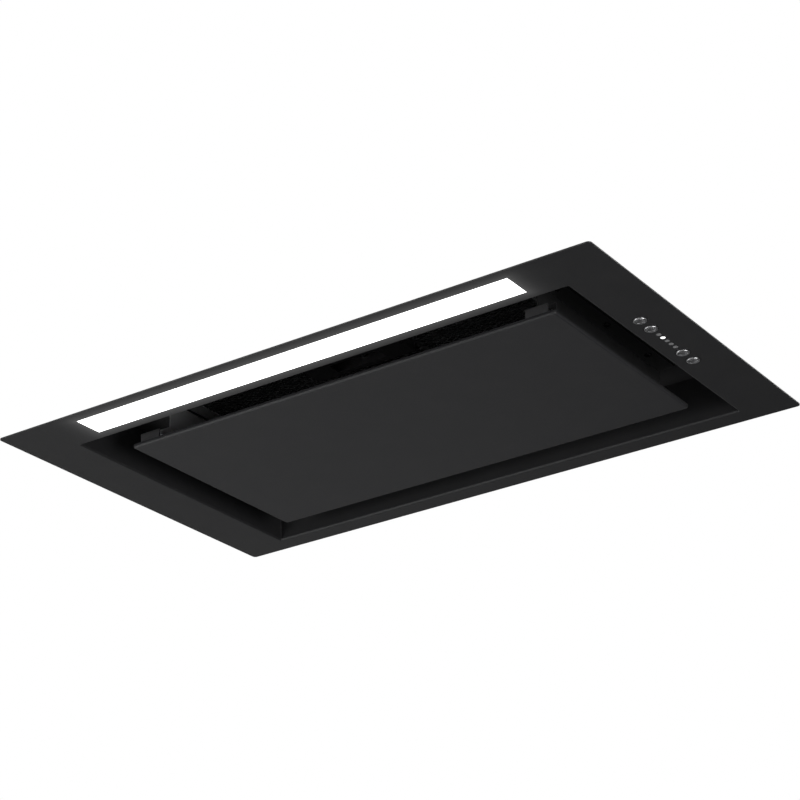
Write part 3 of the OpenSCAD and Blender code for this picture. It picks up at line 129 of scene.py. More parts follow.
class HoodStage(bpy.types.PropertyGroup):
    camera_place: bpy.props.FloatVectorProperty(
        name="Camera", description="Where the camera stands, from the centre of the facade's face", size=3,
        default=(0.8764, -1.3183, -0.7128), unit="LENGTH")
    camera_forward: bpy.props.FloatVectorProperty(
        name="Looks along", description="Direction in which the camera looks", size=3,
        default=(-0.5014, 0.7566, 0.4197), subtype="DIRECTION")
    camera_right: bpy.props.FloatVectorProperty(
        name="Right", description="Direction of the picture's right-hand side", size=3,
        default=(0.8264, 0.5624, -0.0264), subtype="DIRECTION")
    lens: a_number("Lens", "Focal length on a 36 mm wide sensor, in millimetres", 101.65, 1.0)
    floor_drop: a_length("Floor", "How far the floor lies below the facade", 2.6, 0.1)
    cabinet_border: a_length("Cabinet border", "Width of the cabinet's bottom board", 0.45, 0.05)
    board_overlap: a_length("Overlap", "How far the facade covers the board", 6 * MM, 1 * MM)
    room_light: a_number("Room light", "Brightness of the room as the pieces see it", 0.2)


# Helpers for shader trees


class Tree:
    """Adds nodes to a material's or a group's tree and links them by name."""

    def __init__(self, tree):
        self.tree = tree
        self.count = 0

    def add(self, kind, label="", **values):
        made = self.tree.nodes.new(kind)
        made.label = label
        made.location = (220 * (self.count % 8), -260 * (self.count // 8))
        self.count += 1
        for name, value in values.items():
            setattr(made, name, value)
        return made

    def put(self, made, **inputs):
        """Sets or links a node's inputs, named with _ for a space."""
        for name, value in inputs.items():
            self.feed(made.inputs[name.replace("_", " ")], value)

    def feed(self, socket, value):
        if isinstance(value, bpy.types.NodeSocket):
            self.tree.links.new(value, socket)
        elif isinstance(socket, bpy.types.NodeSocketColor) and len(value) == 3:
            socket.default_value = (*value, 1.0)
        else:
            socket.default_value = value

    def math(self, operation, a, b=0.0):
        made = self.add("ShaderNodeMath", operation=operation)
        self.feed(made.inputs[0], a)
        self.feed(made.inputs[1], b)
        return made.outputs[0]

    def vector(self, operation, a, b=ORIGIN, scale=None):
        made = self.add("ShaderNodeVectorMath", operation=operation)
        self.feed(made.inputs[0], a)
        if scale is None:
            self.feed(made.inputs[1], b)
        else:
            self.feed(made.inputs["Scale"], scale)
        return made.outputs["Value" if operation in ("LENGTH", "DOT_PRODUCT") else "Vector"]

    def spread(self, value, low, high, to_low=0.0, to_high=1.0):
        made = self.add("ShaderNodeMapRange")
        self.feed(made.inputs["Value"], value)
        for name, end in zip(("From Min", "From Max", "To Min", "To Max"), (low, high, to_low, to_high)):
            self.feed(made.inputs[name], end)
        return made.outputs["Result"]

    def mix(self, amount, a, b):
        made = self.add("ShaderNodeMix", data_type="RGBA")
        self.feed(made.inputs["Factor"], amount)
        self.feed(made.inputs["A"], a)
        self.feed(made.inputs["B"], b)
        return made.outputs["Result"]

    def object_place(self):
        return self.add("ShaderNodeTexCoord").outputs["Object"]

    def axes(self, vector):
        made = self.add("ShaderNodeSeparateXYZ")
        self.put(made, Vector=vector)
        return made.outputs

    def noise(self, label, place, scale, **inputs):
        made = self.add("ShaderNodeTexNoise", label)
        self.put(made, Vector=place, Scale=scale, **inputs)
        return made.outputs


def group(name, inputs, outputs):
    """Starts a shader node group with float or vector inputs and float outputs."""
    tree = bpy.data.node_groups.new(name, "ShaderNodeTree")
    for label, value in inputs.items():
        kind = "NodeSocketVector" if isinstance(value, tuple) else "NodeSocketFloat"
        tree.interface.new_socket(label, in_out="INPUT", socket_type=kind).default_value = value
    for label in outputs:
        tree.interface.new_socket(label, in_out="OUTPUT", socket_type="NodeSocketFloat")
    t = Tree(tree)
    return t, t.add("NodeGroupInput").outputs, t.add("NodeGroupOutput").inputs


def grain_group():
    """Fine pitted grain with a softer waviness under it, as on powder coat and moulded plastic."""
    t, given, out = group("Fine Grain", {"Width": 0.001, "Waviness": 0.3}, ("Height", "Tone"))
    place = t.object_place()
    fine = t.noise("grain", place, t.math("DIVIDE", 1.0, given["Width"]), Detail=2.0, Roughness=0.6)
    wide = t.noise("waviness", place, t.math("DIVIDE", 0.2, given["Width"]), Detail=1.0)
    height = t.math("ADD", fine["Fac"], t.math("MULTIPLY", wide["Fac"], given["Waviness"]))
    t.feed(out["Height"], height)
    t.feed(out["Tone"], fine["Fac"])


def spangle_group():
    """Zinc crystals: cells of slightly different tone and dullness, with fine rolling marks across them."""
    t, given, out = group("Zinc Spangle", {"Width": 0.01}, ("Tone", "Dullness", "Height"))
    place = t.object_place()
    warp = t.noise("warp", place, t.math("DIVIDE", 0.7, given["Width"]), Detail=2.0)
    shift = t.vector("SCALE", warp["Color"], scale=t.math("MULTIPLY", given["Width"], 0.6))
    bent = t.vector("ADD", place, shift)
    cells = t.add("ShaderNodeTexVoronoi", "crystals")
    t.put(cells, Vector=bent, Scale=t.math("DIVIDE", 1.0, given["Width"]))
    split = t.add("ShaderNodeSeparateColor")
    t.put(split, Color=cells.outputs["Color"])
    feather = t.noise("feathering", place, t.math("DIVIDE", 9.0, given["Width"]), Detail=3.0)
    crystal = t.math("MULTIPLY", split.outputs["Red"], 0.7)
    t.feed(out["Tone"], t.math("ADD", crystal, t.math("MULTIPLY", feather["Fac"], 0.3)))
    t.feed(out["Dullness"], split.outputs["Green"])
    t.feed(out["Height"], feather["Fac"])


def turning_group():
    """Fine rings cut by a lathe round an axis along Z through Centre."""
    t, given, out = group("Turning Marks", {"Centre": ORIGIN, "Pitch": 0.2 * MM}, ("Height", "Tone"))
    away = t.vector("SUBTRACT", t.object_place(), given["Centre"])
    flat = t.vector("MULTIPLY", away, (1.0, 1.0, 0.0))
    radius = t.vector("LENGTH", flat)
    rings = t.math("SINE", t.math("MULTIPLY", t.math("DIVIDE", radius, given["Pitch"]), 2 * math.pi))
    rough = t.noise("chatter", flat, 2200.0, Detail=2.0)
    t.feed(out["Height"], t.math("ADD", rings, rough["Fac"]))
    t.feed(out["Tone"], rough["Fac"])


def drawn_group():
    """Streaks drawn along one axis, as on rolled, brushed or plated metal."""
    t, given, out = group("Drawn Streaks", {"Along": (1.0, 0.0, 0.0), "Width": 0.0006}, ("Height", "Tone"))
    place = t.object_place()
    along = t.vector("DOT_PRODUCT", place, given["Along"])
    most = t.math("MULTIPLY", along, 0.96)
    squeezed = t.vector("SUBTRACT", place, t.vector("SCALE", given["Along"], scale=most))
    streaks = t.noise("streaks", squeezed, t.math("DIVIDE", 1.0, given["Width"]), Detail=3.0)
    clouds = t.noise("clouds", place, 28.0, Detail=2.0)
    t.feed(out["Height"], streaks["Fac"])
    t.feed(out["Tone"], t.math("ADD", t.math("MULTIPLY", streaks["Fac"], 0.5),
                               t.math("MULTIPLY", clouds["Fac"], 0.5)))


def painted_glow_group():
    """A glow of lamp light painted onto the sheet round the lamp strip as emission, fading with the distance
    from it.
    """
    t, given, out = group("Painted Lamp Glow", {"Reach": 0.01}, ("Mask",))
    split = t.axes(t.object_place())
    off = []
    for axis in (0, 1):
        middle = (LAMP_GAP[0][axis] + LAMP_GAP[1][axis]) / 2
        half = (LAMP_GAP[1][axis] - LAMP_GAP[0][axis]) / 2
        away = t.math("ABSOLUTE", t.math("SUBTRACT", split["XY"[axis]], middle))
        off.append(t.math("MAXIMUM", t.math("SUBTRACT", away, half), 0.0))
    apart = t.math("SQRT", t.math("ADD", t.math("POWER", off[0], 2.0), t.math("POWER", off[1], 2.0)))
    fade = t.math("EXPONENT", t.math("DIVIDE", t.math("MULTIPLY", apart, -1.0), given["Reach"]))
    outside = t.math("LESS_THAN", split["Z"], FACADE_LOW.z + 0.2 * MM)
    t.feed(out["Mask"], t.math("MULTIPLY", fade, outside))


def dust_group():
    """A thin film of dust in soft patches, thicker where a surface looks up."""
    t, given, out = group("Dust Film", {"Amount": 0.2}, ("Mask",))
    patches = t.noise("patches", t.object_place(), 34.0, Detail=5.0, Roughness=0.65)
    split = t.axes(t.add("ShaderNodeNewGeometry").outputs["Normal"])
    up = t.spread(split["Z"], 0.2, 1.0, 0.35, 1.0)
    film = t.math("MULTIPLY", up, given["Amount"])
    t.feed(out["Mask"], t.math("MULTIPLY", t.spread(patches["Fac"], 0.42, 0.7), film))


# Finishes


def start_material(name):
    """Starts a material: a helper to add nodes to its tree, and its Principled BSDF."""
    made = bpy.data.materials.new(name)
    made.use_nodes = True
    t = Tree(made.node_tree)
    t.count = 2
    return t, made.node_tree.nodes["Principled BSDF"]


def place_group(t, name, **inputs):
    made = t.add("ShaderNodeGroup", name, node_tree=bpy.data.node_groups[name])
    t.put(made, **inputs)
    return made.outputs


def bump(t, shader, height, strength, depth):
    made = t.add("ShaderNodeBump")
    t.put(made, Height=height, Strength=strength, Distance=depth)
    t.feed(shader.inputs["Normal"], made.outputs["Normal"])


def shades(colour, dark, light):
    return tuple(dark * c for c in colour), tuple(light * c for c in colour)


def coat_material(name, finish, tone=1.0, dull=0.0, painted_lamp_glow=0.0):
    """Satin black powder coat on sheet steel."""
    t, shader = start_material(name)
    grain = place_group(t, "Fine Grain", Width=finish.coat_grain, Waviness=0.5)
    dust = place_group(t, "Dust Film", Amount=0.1)
    dark, light = shades(finish.coat_colour, 0.85 * tone, 1.2 * tone)
    coat = t.mix(grain["Tone"], dark, light)
    t.put(shader, Base_Color=t.mix(dust["Mask"], coat, (0.09, 0.088, 0.084)), Specular_IOR_Level=0.42)
    low = finish.coat_roughness + dull - 0.06
    t.put(shader, Roughness=t.spread(grain["Tone"], 0.25, 0.75, low, low + 0.12))
    bump(t, shader, grain["Height"], 0.35, 0.00006)
    # painted glow: the sheet round the lamp strip gets its own emission, standing in for the lamp's light
    # spilling onto it
    if painted_lamp_glow:
        halo = place_group(t, "Painted Lamp Glow", Reach=finish.halo_reach)
        t.put(shader, Emission_Color=t.mix(halo["Mask"], (0.0, 0.0, 0.0), finish.lamp_colour))
        t.put(shader, Emission_Strength=painted_lamp_glow)


def zinc_material(name, finish):
    """Zinc-coated steel sheet with its crystals."""
    t, shader = start_material(name)
    spangle = place_group(t, "Zinc Spangle", Width=finish.spangle)
    dust = place_group(t, "Dust Film", Amount=0.1)
    dark, light = shades(finish.zinc_colour, 0.93, 1.05)
    sheet = t.mix(spangle["Tone"], dark, light)
    t.put(shader, Base_Color=t.mix(dust["Mask"], sheet, (0.36, 0.35, 0.33)))
    t.put(shader, Metallic=t.spread(dust["Mask"], 0.0, 0.4, 1.0, 0.7))
    t.put(shader, Roughness=t.spread(spangle["Dullness"], 0.0, 1.0, 0.41, 0.46))
    bump(t, shader, spangle["Height"], 0.25, 0.00004)


def metal_material(name, colour, roughness, along=(1.0, 0.0, 0.0), width=0.6 * MM, metallic=1.0):
    """Rolled, drawn or plated metal with streaks along one axis."""
    t, shader = start_material(name)
    streaks = place_group(t, "Drawn Streaks", Along=along, Width=width)
    dark, light = shades(colour, 0.84, 1.12)
    t.put(shader, Base_Color=t.mix(streaks["Tone"], dark, light), Metallic=metallic)
    t.put(shader, Roughness=t.spread(streaks["Tone"], 0.3, 0.7, roughness - 0.06, roughness + 0.08))
    bump(t, shader, streaks["Height"], 0.25, 0.00003)


def moulded_material(name, colour, roughness=0.5, grain=0.7 * MM):
    """Injection-moulded plastic with a fine spark texture."""
    t, shader = start_material(name)
    fine = place_group(t, "Fine Grain", Width=grain, Waviness=0.2)
    dust = place_group(t, "Dust Film", Amount=0.14)
    dark, light = shades(colour, 0.9, 1.08)
    plastic = t.mix(fine["Tone"], dark, light)
    t.put(shader, Base_Color=t.mix(dust["Mask"], plastic, (0.3, 0.29, 0.27)))
    t.put(shader, Roughness=t.spread(fine["Tone"], 0.25, 0.75, roughness - 0.05, roughness + 0.08))
    bump(t, shader, fine["Height"], 0.3, 0.00005)


def cap_material(name, finish, centre):
    """Turned button metal, with shade painted darker into its dish and a highlight painted bright onto its
    edge.
    """
    t, shader = start_material(name)
    marks = place_group(t, "Turning Marks", Centre=tuple(centre), Pitch=0.00022)
    away = t.vector("SUBTRACT", t.object_place(), tuple(centre))
    radius = t.vector("LENGTH", t.vector("MULTIPLY", away, (1.0, 1.0, 0.0)))
    # painted shade and highlight: the colour runs from darker in the dish to bright at the edge
    rim = t.spread(radius, 2.4 * MM, 3.6 * MM)
    dark, light = shades(finish.button_colour, 0.8, 1.0)
    t.put(shader, Base_Color=t.mix(rim, dark, light), Metallic=1.0)
    t.put(shader, Roughness=t.spread(marks["Tone"], 0.3, 0.7, 0.26, 0.38))
    bump(t, shader, marks["Height"], 0.2, 0.00002)


def opal_material(name, finish):
    """Opal diffuser lit from behind, a touch brighter over the row of diodes."""
    t, shader = start_material(name)
    split = t.axes(t.object_place())
    middle = (LAMP_LOW.y + LAMP_HIGH.y) / 2
    off = t.math("ABSOLUTE", t.math("SUBTRACT", split["Y"], middle))
    glow = t.spread(off, 0.0, (LAMP_HIGH.y - LAMP_LOW.y) / 2, 1.0, 0.86)
    colour = t.mix(glow, (0.0, 0.0, 0.0), finish.lamp_colour)
    t.put(shader, Base_Color=finish.lamp_colour, Emission_Color=colour, Roughness=0.35)
    t.put(shader, Emission_Strength=finish.lamp_strength)


LENS_COUNT = 5
LENS_FLANGE = 0.72 * 3.7 * MM


def lens_material(name, finish):
    """Clear grey indicator lenses; the lit one glows."""
    t, shader = start_material(name)
    low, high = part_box("indicator_lenses")
    pitch = (high.y - low.y - 2 * LENS_FLANGE) / (LENS_COUNT - 1)
    lit_y = low.y + LENS_FLANGE + (finish.lit_indicator - 1) * pitch
    split = t.axes(t.object_place())
    off = t.math("ABSOLUTE", t.math("SUBTRACT", split["Y"], lit_y))
    lit = t.math("LESS_THAN", off, pitch / 2)
    frost = t.noise("frost", t.object_place(), 1500.0)
    clear = t.mix(frost["Fac"], (0.2, 0.2, 0.205), (0.3, 0.3, 0.305))
    t.put(shader, Base_Color=t.mix(lit, clear, (0.9, 0.9, 0.9)))
    t.put(shader, Emission_Color=t.mix(lit, (0, 0, 0), (1, 1, 1)))
    t.put(shader, Roughness=t.spread(frost["Fac"], 0.2, 0.8, 0.18, 0.3))
    t.put(shader, Emission_Strength=1.05)


def circuit_material(name, colour, copper):
    """Circuit board lacquer with tracks showing through it."""
    t, shader = start_material(name)
    place = t.object_place()
    tracks = t.add("ShaderNodeTexBrick", "tracks", offset=0.35, squash=1.0)
    t.put(tracks, Vector=place, Scale=160.0, Mortar_Size=0.03)
    t.put(tracks, Color1=(0, 0, 0), Color2=(0, 0, 0), Mortar=(1, 1, 1))
    pads = t.add("ShaderNodeTexVoronoi", "pads", feature="DISTANCE_TO_EDGE")
    t.put(pads, Vector=place, Scale=210.0)
    dots = t.math("GREATER_THAN", pads.outputs["Distance"], 0.42)
    line = t.mix(0.5, colour, copper)
    face = t.mix(tracks.outputs["Color"], colour, line)
    t.put(shader, Base_Color=t.mix(dots, face, (0.62, 0.6, 0.55)))
    t.put(shader, Roughness=t.spread(pads.outputs["Distance"], 0.0, 0.5, 0.3, 0.5))


def mesh_material(name):
    """Knitted aluminium wire: crossing strands over gaps painted near black as the shade inside them."""
    t, shader = start_material(name)
    place = t.object_place()
    split = t.axes(place)
    turns = 2 * math.pi / (3.2 * MM)
    strands = []
    for sign in (1.0, -1.0):
        slant = t.math("ADD", split["X"], t.math("MULTIPLY", split["Y"], sign))
        strands.append(t.math("ABSOLUTE", t.math("SINE", t.math("MULTIPLY", slant, turns))))
    wire = t.math("MAXIMUM", strands[0], strands[1])
    shown = t.spread(wire, 0.72, 0.9)
    # painted shade: the gaps between the strands are near black
    t.put(shader, Base_Color=t.mix(shown, (0.03, 0.03, 0.032), (0.26, 0.265, 0.27)))
    t.put(shader, Metallic=t.spread(shown, 0.0, 1.0, 0.3, 0.8))
    t.put(shader, Roughness=t.spread(shown, 0.0, 1.0, 0.8, 0.45))
    bump(t, shader, wire, 0.5, 0.0003)


# Name, colour, roughness and width of a grain
MOULDED = (
    ("Terminal plastic", (0.8, 0.8, 0.76), 0.35, 0.7 * MM),
    ("Lead sheath", (0.66, 0.66, 0.64), 0.4, 1.2 * MM),
    ("Rubber", (0.018, 0.018, 0.018), 0.75, 0.7 * MM),
)
# Name, colour, roughness and what differs from plain rolled metal
METALS = (
    ("Plated steel", (0.52, 0.52, 0.53), 0.3, {}),
    ("Yellow zinc", (0.6, 0.56, 0.44), 0.3, {}),
    ("Blackened steel", (0.05, 0.05, 0.052), 0.42, {}),
    ("Phosphated steel", (0.2, 0.2, 0.205), 0.5, {}),
    # one bracket steel in two copies: a lighter one with painted light and a darker one with painted shade
    ("Grey steel", (0.26, 0.26, 0.265), 0.5, {"metallic": 0.1}),
    ("Dark grey steel", (0.045, 0.045, 0.046), 0.5, {"metallic": 0.2}),
    ("Spring steel", (0.42, 0.43, 0.45), 0.3, {"along": (0.0, 0.0, 1.0), "width": 4 * MM}),
    ("Rivet aluminium", (0.62, 0.63, 0.64), 0.36, {}),
    ("Filter aluminium", (0.5, 0.51, 0.52), 0.42, {"width": 2 * MM, "metallic": 0.8}),
    ("Expanded aluminium", (0.24, 0.245, 0.25), 0.42, {"width": 4 * MM}),
    ("Cast aluminium", (0.5, 0.51, 0.52), 0.5, {"along": ORIGIN, "width": 1.8 * MM}),
)
FINISH_OF_SLOT = {
    "black_coat": "Powder coat",
    "diffuser": "Opal diffuser",
    "zinc_sheet": "Zinc sheet",
    "board_white": "White board",
    "black_plastic": "Black plastic",
    "board_green": "Green board",
    "lens": "Indicator lens",
    "button_metal": "Plated steel",
    "bright_steel": "Plated steel",
    "filter_metal": "Filter aluminium",
    "cast_metal": "Cast aluminium",
    "bush_rubber": "Rubber",
    "white_plastic": "White plastic",
}
FINISH_OF_NODE = {
    "facade_plate": "Powder coat facade",
    "bracket_screws": "Blackened steel",
    "recess_ceiling": "Powder coat inside",
    # the two brackets are the same steel; the left gets painted light, the right painted shade
    "bracket_left": "Grey steel",
    "bracket_right": "Dark grey steel",
    "panel_catch_tabs": "Phosphated steel",
    "panel_skin": "Powder coat panel",
    "filter_pack": "Knitted mesh",
    "filter_grip": "Powder coat inside",
    "catch_clips": "Spring steel",
    "side_springs": "Spring steel",
    "latch_spring": "Spring steel",
    "motor_spider": "Zinc sheet",
    "casing_screws": "Yellow zinc",
    "lamp_lead": "Lead sheath",
    "control_lead": "Lead sheath",
    "terminal_block": "Terminal plastic",
}


class HOOD_OT_finishes(bpy.types.Operator):
    """Build the finishes and give one to every solid piece"""

    bl_idname = "hood.finishes"
    bl_label = "Finishes"

    def execute(self, context):
        finish = context.scene.hood_finish
        for make in (grain_group, spangle_group, turning_group, drawn_group, painted_glow_group, dust_group):
            make()
        coat_material("Powder coat", finish)
        # the facade carries a painted glow of lamp light round the lamp strip
        coat_material("Powder coat facade", finish, painted_lamp_glow=0.07)
        coat_material("Powder coat panel", finish, tone=1.55)
        coat_material("Powder coat inside", finish, tone=0.9, dull=0.1)
        zinc_material("Zinc sheet", finish)
        opal_material("Opal diffuser", finish)
        lens_material("Indicator lens", finish)
        circuit_material("White board", (0.72, 0.73, 0.7), (0.6, 0.6, 0.56))
        circuit_material("Green board", (0.02, 0.13, 0.05), (0.1, 0.24, 0.09))
        moulded_material("Black plastic", finish.plastic_colour)
        moulded_material("White plastic", finish.white_colour, roughness=0.42)
        for name, colour, roughness, grain in MOULDED:
            moulded_material(name, colour, roughness, grain)
        for name, colour, roughness, more in METALS:
            metal_material(name, colour, roughness, **more)
        mesh_material("Knitted mesh")
        slot_of = {s["node"]: s["material_slot"] for s in frame["record"]["subparts"]}
        for name, node in NODES.items():
            finish_name = FINISH_OF_NODE.get(name, FINISH_OF_SLOT[slot_of[name]])
            node.data.materials.clear()
            node.data.materials.append(bpy.data.materials[finish_name])
        return {"FINISHED"}


# Helpers for modelling


def deselect():
    if bpy.context.object and bpy.context.object.mode != "OBJECT":
        bpy.ops.object.mode_set(mode="OBJECT")
    bpy.ops.object.select_all(action="DESELECT")


def select(*parts):
    """Selects these objects alone, the first as the active one."""
    deselect()
    for part in parts:
        part.select_set(True)
    bpy.context.view_layer.objects.active = parts[0]


def name_piece(name, material):
    """Names the piece in hand, gives it a finish and puts its place into its mesh."""
    piece = bpy.context.object
    piece.name = name
    piece.data.name = name
    bpy.ops.object.transform_apply()
    piece.data.materials.clear()
    piece.data.materials.append(bpy.data.materials[material])
    return piece


def join(parts):
    """Joins parts into the first of them and leaves it selected."""
    select(*parts)
    if len(parts) > 1:
        bpy.ops.object.join()
    return parts[0]


def smooth(degrees=30):
    bpy.ops.object.shade_smooth_by_angle(angle=math.radians(degrees))


def bisect(point, normal, clear_outer=False):
    """Cuts the piece in edit mode by a plane and can clear what lies beyond it."""
    bpy.ops.mesh.select_all(action="SELECT")
    bpy.ops.mesh.bisect(plane_co=point, plane_no=normal, clear_outer=clear_outer)


def pick_faces(piece, wanted):
    """Selects, in edit mode, the faces that a test wants."""
    bpy.ops.mesh.select_all(action="DESELECT")
    bpy.ops.object.mode_set(mode="OBJECT")
    for face in piece.data.polygons:
        face.select = wanted(face)
    bpy.ops.object.mode_set(mode="EDIT")
    bpy.ops.mesh.select_mode(type="FACE")


def over_middle(low, high, z):
    """The point at height z over the middle of a box."""
    return Vector(((low.x + high.x) / 2, (low.y + high.y) / 2, z))


def within(point, box):
    """Whether a point lies over a box (low, high), seen from above."""
    low, high = box
    return low.x < point.x < high.x and low.y < point.y < high.y


def mend():
    """Merges doubles, closes holes and turns the faces outwards."""
    bpy.ops.object.mode_set(mode="EDIT")
    bpy.ops.mesh.select_all(action="SELECT")
    bpy.ops.mesh.remove_doubles(threshold=MERGE)
    bpy.ops.mesh.dissolve_degenerate(threshold=MERGE / 2)
    bpy.ops.mesh.fill_holes(sides=0)
    bpy.ops.mesh.normals_make_consistent(inside=False)
    bpy.ops.object.mode_set(mode="OBJECT")


def lathe(name, profile, material, centre=ORIGIN, steps=48):
    """Turns a profile of (radius, height) points round the Z axis through centre."""
    deselect()
    bpy.ops.mesh.primitive_plane_add(size=1.0, location=ORIGIN)
    bpy.ops.object.mode_set(mode="EDIT")
    bpy.ops.mesh.select_mode(type="VERT")
    bpy.ops.mesh.select_all(action="SELECT")
    bpy.ops.mesh.merge(type="CENTER")
    bpy.ops.transform.translate(value=(profile[0][0], 0.0, profile[0][1]))
    for (r0, z0), (r1, z1) in zip(profile, profile[1:]):
        bpy.ops.mesh.extrude_region_move(TRANSFORM_OT_translate={"value": (r1 - r0, 0.0, z1 - z0)})
    bpy.ops.mesh.select_all(action="SELECT")
    bpy.ops.mesh.spin(steps=steps, angle=2 * math.pi, center=ORIGIN, axis=(0.0, 0.0, 1.0))
    bpy.ops.mesh.select_all(action="SELECT")
    bpy.ops.mesh.remove_doubles(threshold=MERGE)
    bpy.ops.mesh.normals_make_consistent(inside=False)
    bpy.ops.object.mode_set(mode="OBJECT")
    smooth(32)
    bpy.context.object.location = centre
    return name_piece(name, material)


def combine(piece, other, operation="DIFFERENCE"):
    """Cuts a piece with another object, or keeps what the two share, and removes that object."""
    select(piece)
    cut = piece.modifiers.new("Cut", "BOOLEAN")
    cut.operation = operation
    cut.solver = "EXACT"
    cut.object = other
    bpy.ops.object.modifier_apply(modifier=cut.name)
    bpy.data.objects.remove(other)
    mend()


def prism(name, radius, low, high, sides, material):
    """An upright prism, as a start for a nut."""
    deselect()
    bpy.ops.mesh.primitive_cylinder_add(vertices=sides, radius=radius, depth=high - low,
                                        location=(0.0, 0.0, (low + high) / 2))
    return name_piece(name, material)


def copies(piece, name, transforms):
    """Puts a copy of a finished piece at each transform and joins them into one object."""
    made = []
    for matrix in transforms:
        twin = piece.copy()
        twin.data = piece.data.copy()
        twin.data.transform(matrix)
        bpy.context.collection.objects.link(twin)
        made.append(twin)
    bpy.data.objects.remove(piece)
    whole = join(made)
    whole.name = name
    return whole


def islands(node):
    """Boxes (low, high) of a CAD node's separate solids."""
    twin = NODES[node].copy()
    twin.data = NODES[node].data.copy()
    twin.parent = None
    bpy.context.collection.objects.link(twin)
    select(twin)
    bpy.ops.object.mode_set(mode="EDIT")
    bpy.ops.mesh.select_all(action="SELECT")
    bpy.ops.mesh.remove_doubles(threshold=2.5 * MERGE)
    bpy.ops.mesh.separate(type="LOOSE")
    bpy.ops.object.mode_set(mode="OBJECT")
    found = []
    for part in list(bpy.context.selected_objects):
        points = [v.co for v in part.data.vertices]
        low = Vector([min(p[i] for p in points) for i in range(3)])
        high = Vector([max(p[i] for p in points) for i in range(3)])
        found.append((low, high))
        bpy.data.objects.remove(part)
    return sorted(found, key=lambda box: tuple(round(c, 4) for c in box[0]))


# Buttons


COLLAR_TO_CAP = 1.17
COLLAR_LOW, COLLAR_HIGH, CAP_TOP = 1.3 * MM, 2.0 * MM, 3.2 * MM
STEM_R = 1.9 * MM
CAP_EDGE = ((1.0, 0.0), (0.62, 0.08), (0.29, 0.29), (0.08, 0.62), (0.0, 1.0))


def button_profile(low, high, detail):
    """A cap with a rounded edge and a grooved dish, its collar and its stem, upwards from the cap's face."""
    collar = (high.x - low.x) / 2
    cap = collar / COLLAR_TO_CAP
    proud = FACADE_LOW.z - low.z
    cap_top, collar_low, collar_high = (proud + height for height in (CAP_TOP, COLLAR_LOW, COLLAR_HIGH))
    deep, edge = detail.cap_dish, detail.cap_bevel
    dish = 0.56 * cap
    groove = dish + 0.5 * MM
    points = [(0.0, deep)]
    points += [(dish * i / 5, deep * (1 - 0.75 * (i / 5) ** 2)) for i in range(1, 6)]
    points += [(dish + 0.1 * MM, 1.1 * deep), (groove, 1.1 * deep), (groove + 0.1 * MM, 0.1 * deep)]
    points += [(groove + 0.3 * MM, 0.0)]
    points += [(cap - inward * edge, up * edge) for inward, up in CAP_EDGE]
    points += [(cap, collar_low), (collar, collar_low), (collar, collar_high)]
    points += [(cap, collar_high), (cap, cap_top), (STEM_R, cap_top)]
    points += [(STEM_R, high.z - low.z), (0.0, high.z - low.z)]
    return points


class HOOD_OT_buttons(bpy.types.Operator):
    """Turn the four push buttons"""

    bl_idname = "hood.buttons"
    bl_label = "Push buttons"

    def execute(self, context):
        finish, detail = context.scene.hood_finish, context.scene.hood_detail
        for node in BUTTONS:
            low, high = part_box(node)
            centre = over_middle(low, high, low.z)
            metal = f"Turned metal {node[-1]}"
            cap_material(metal, finish, centre)
            piece = lathe(f"{node}_turned", button_profile(low, high, detail), metal, centre, 64)
            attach(piece, node)
            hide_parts(node)
        return {"FINISHED"}


# Screws


def screw(name, radius, head_r, head_h, shank, detail, material):
    """Pan-head screw with a cross recess, head down under z = 0 and shank up."""
    dome = [(head_r * math.sin(a), -head_h + head_h * 0.75 * (1 - math.cos(a)))
            for a in (math.radians(d) for d in (0, 18, 36, 54, 72, 90))]
    profile = dome + [(head_r, 0.0), (radius, 0.0)]
    turn = 0.9 * MM
    z = 0.4 * MM
    while z + turn < shank - radius:
        profile += [(radius, z), (0.78 * radius, z + turn / 2)]
        z += turn
    profile += [(radius, shank - radius), (0.0, shank)]
    piece = lathe(name, profile, material, steps=24)
    bar = (1.15 * head_r, 0.24 * head_r, 2 * detail.recess_depth)
    for turned in (0.0, math.pi / 2):
        deselect()
        bpy.ops.mesh.primitive_cube_add(
            size=1.0, location=(0.0, 0.0, -head_h), rotation=(0.0, 0.0, turned), scale=bar)
        bpy.ops.object.transform_apply()
        combine(piece, bpy.context.object)
    smooth()
    return piece


def ride_on_hood(piece, replaced=None):
    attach(piece, "hood")
    if replaced:
        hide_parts(replaced)


class HOOD_OT_screws(bpy.types.Operator):
    """Put cross-recessed screws in the brackets, the casing and the electronics lid"""

    bl_idname = "hood.screws"
    bl_label = "Screws"

    def execute(self, context):
        detail = context.scene.hood_detail
        kinds = (("bracket_screws", "Blackened steel", False), ("casing_screws", "Yellow zinc", True))
        for node, material, head_up in kinds:
            places = islands(node)
            low, high = places[0]
            head_r = (high.x - low.x) / 2
            head_h, radius = 1.8 * MM, 1.5 * MM
            turns = []
            for count, (low, high) in enumerate(places):
                spin = Matrix.Rotation(math.radians(37 * count), 4, "Z")
                if head_up:
                    spin = spin @ UPSIDE_DOWN
                seat = high.z - head_h if head_up else low.z + head_h
                turns.append(Matrix.Translation(over_middle(low, high, seat)) @ spin)
            shank = places[0][1].z - places[0][0].z - head_h
            one = screw(f"{node}_one", radius, head_r, head_h, shank, detail, material)
            ride_on_hood(copies(one, f"{node}_turned", turns), node)
        lid_low, lid_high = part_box("electronics_lid")
        places = []
        for share in (0.09, 0.91):
            y = lid_low.y + share * (lid_high.y - lid_low.y)
            place = Matrix.Translation(((lid_low.x + lid_high.x) / 2, y, lid_high.z))
            places.append(place @ UPSIDE_DOWN)
        one = screw("lid_screw_one", 1.3 * MM, 2.8 * MM, 1.6 * MM, 5.0 * MM, detail, "Plated steel")
        ride_on_hood(copies(one, "lid_screws", places))
        return {"FINISHED"}


# Nuts, rivets, gland and grommets


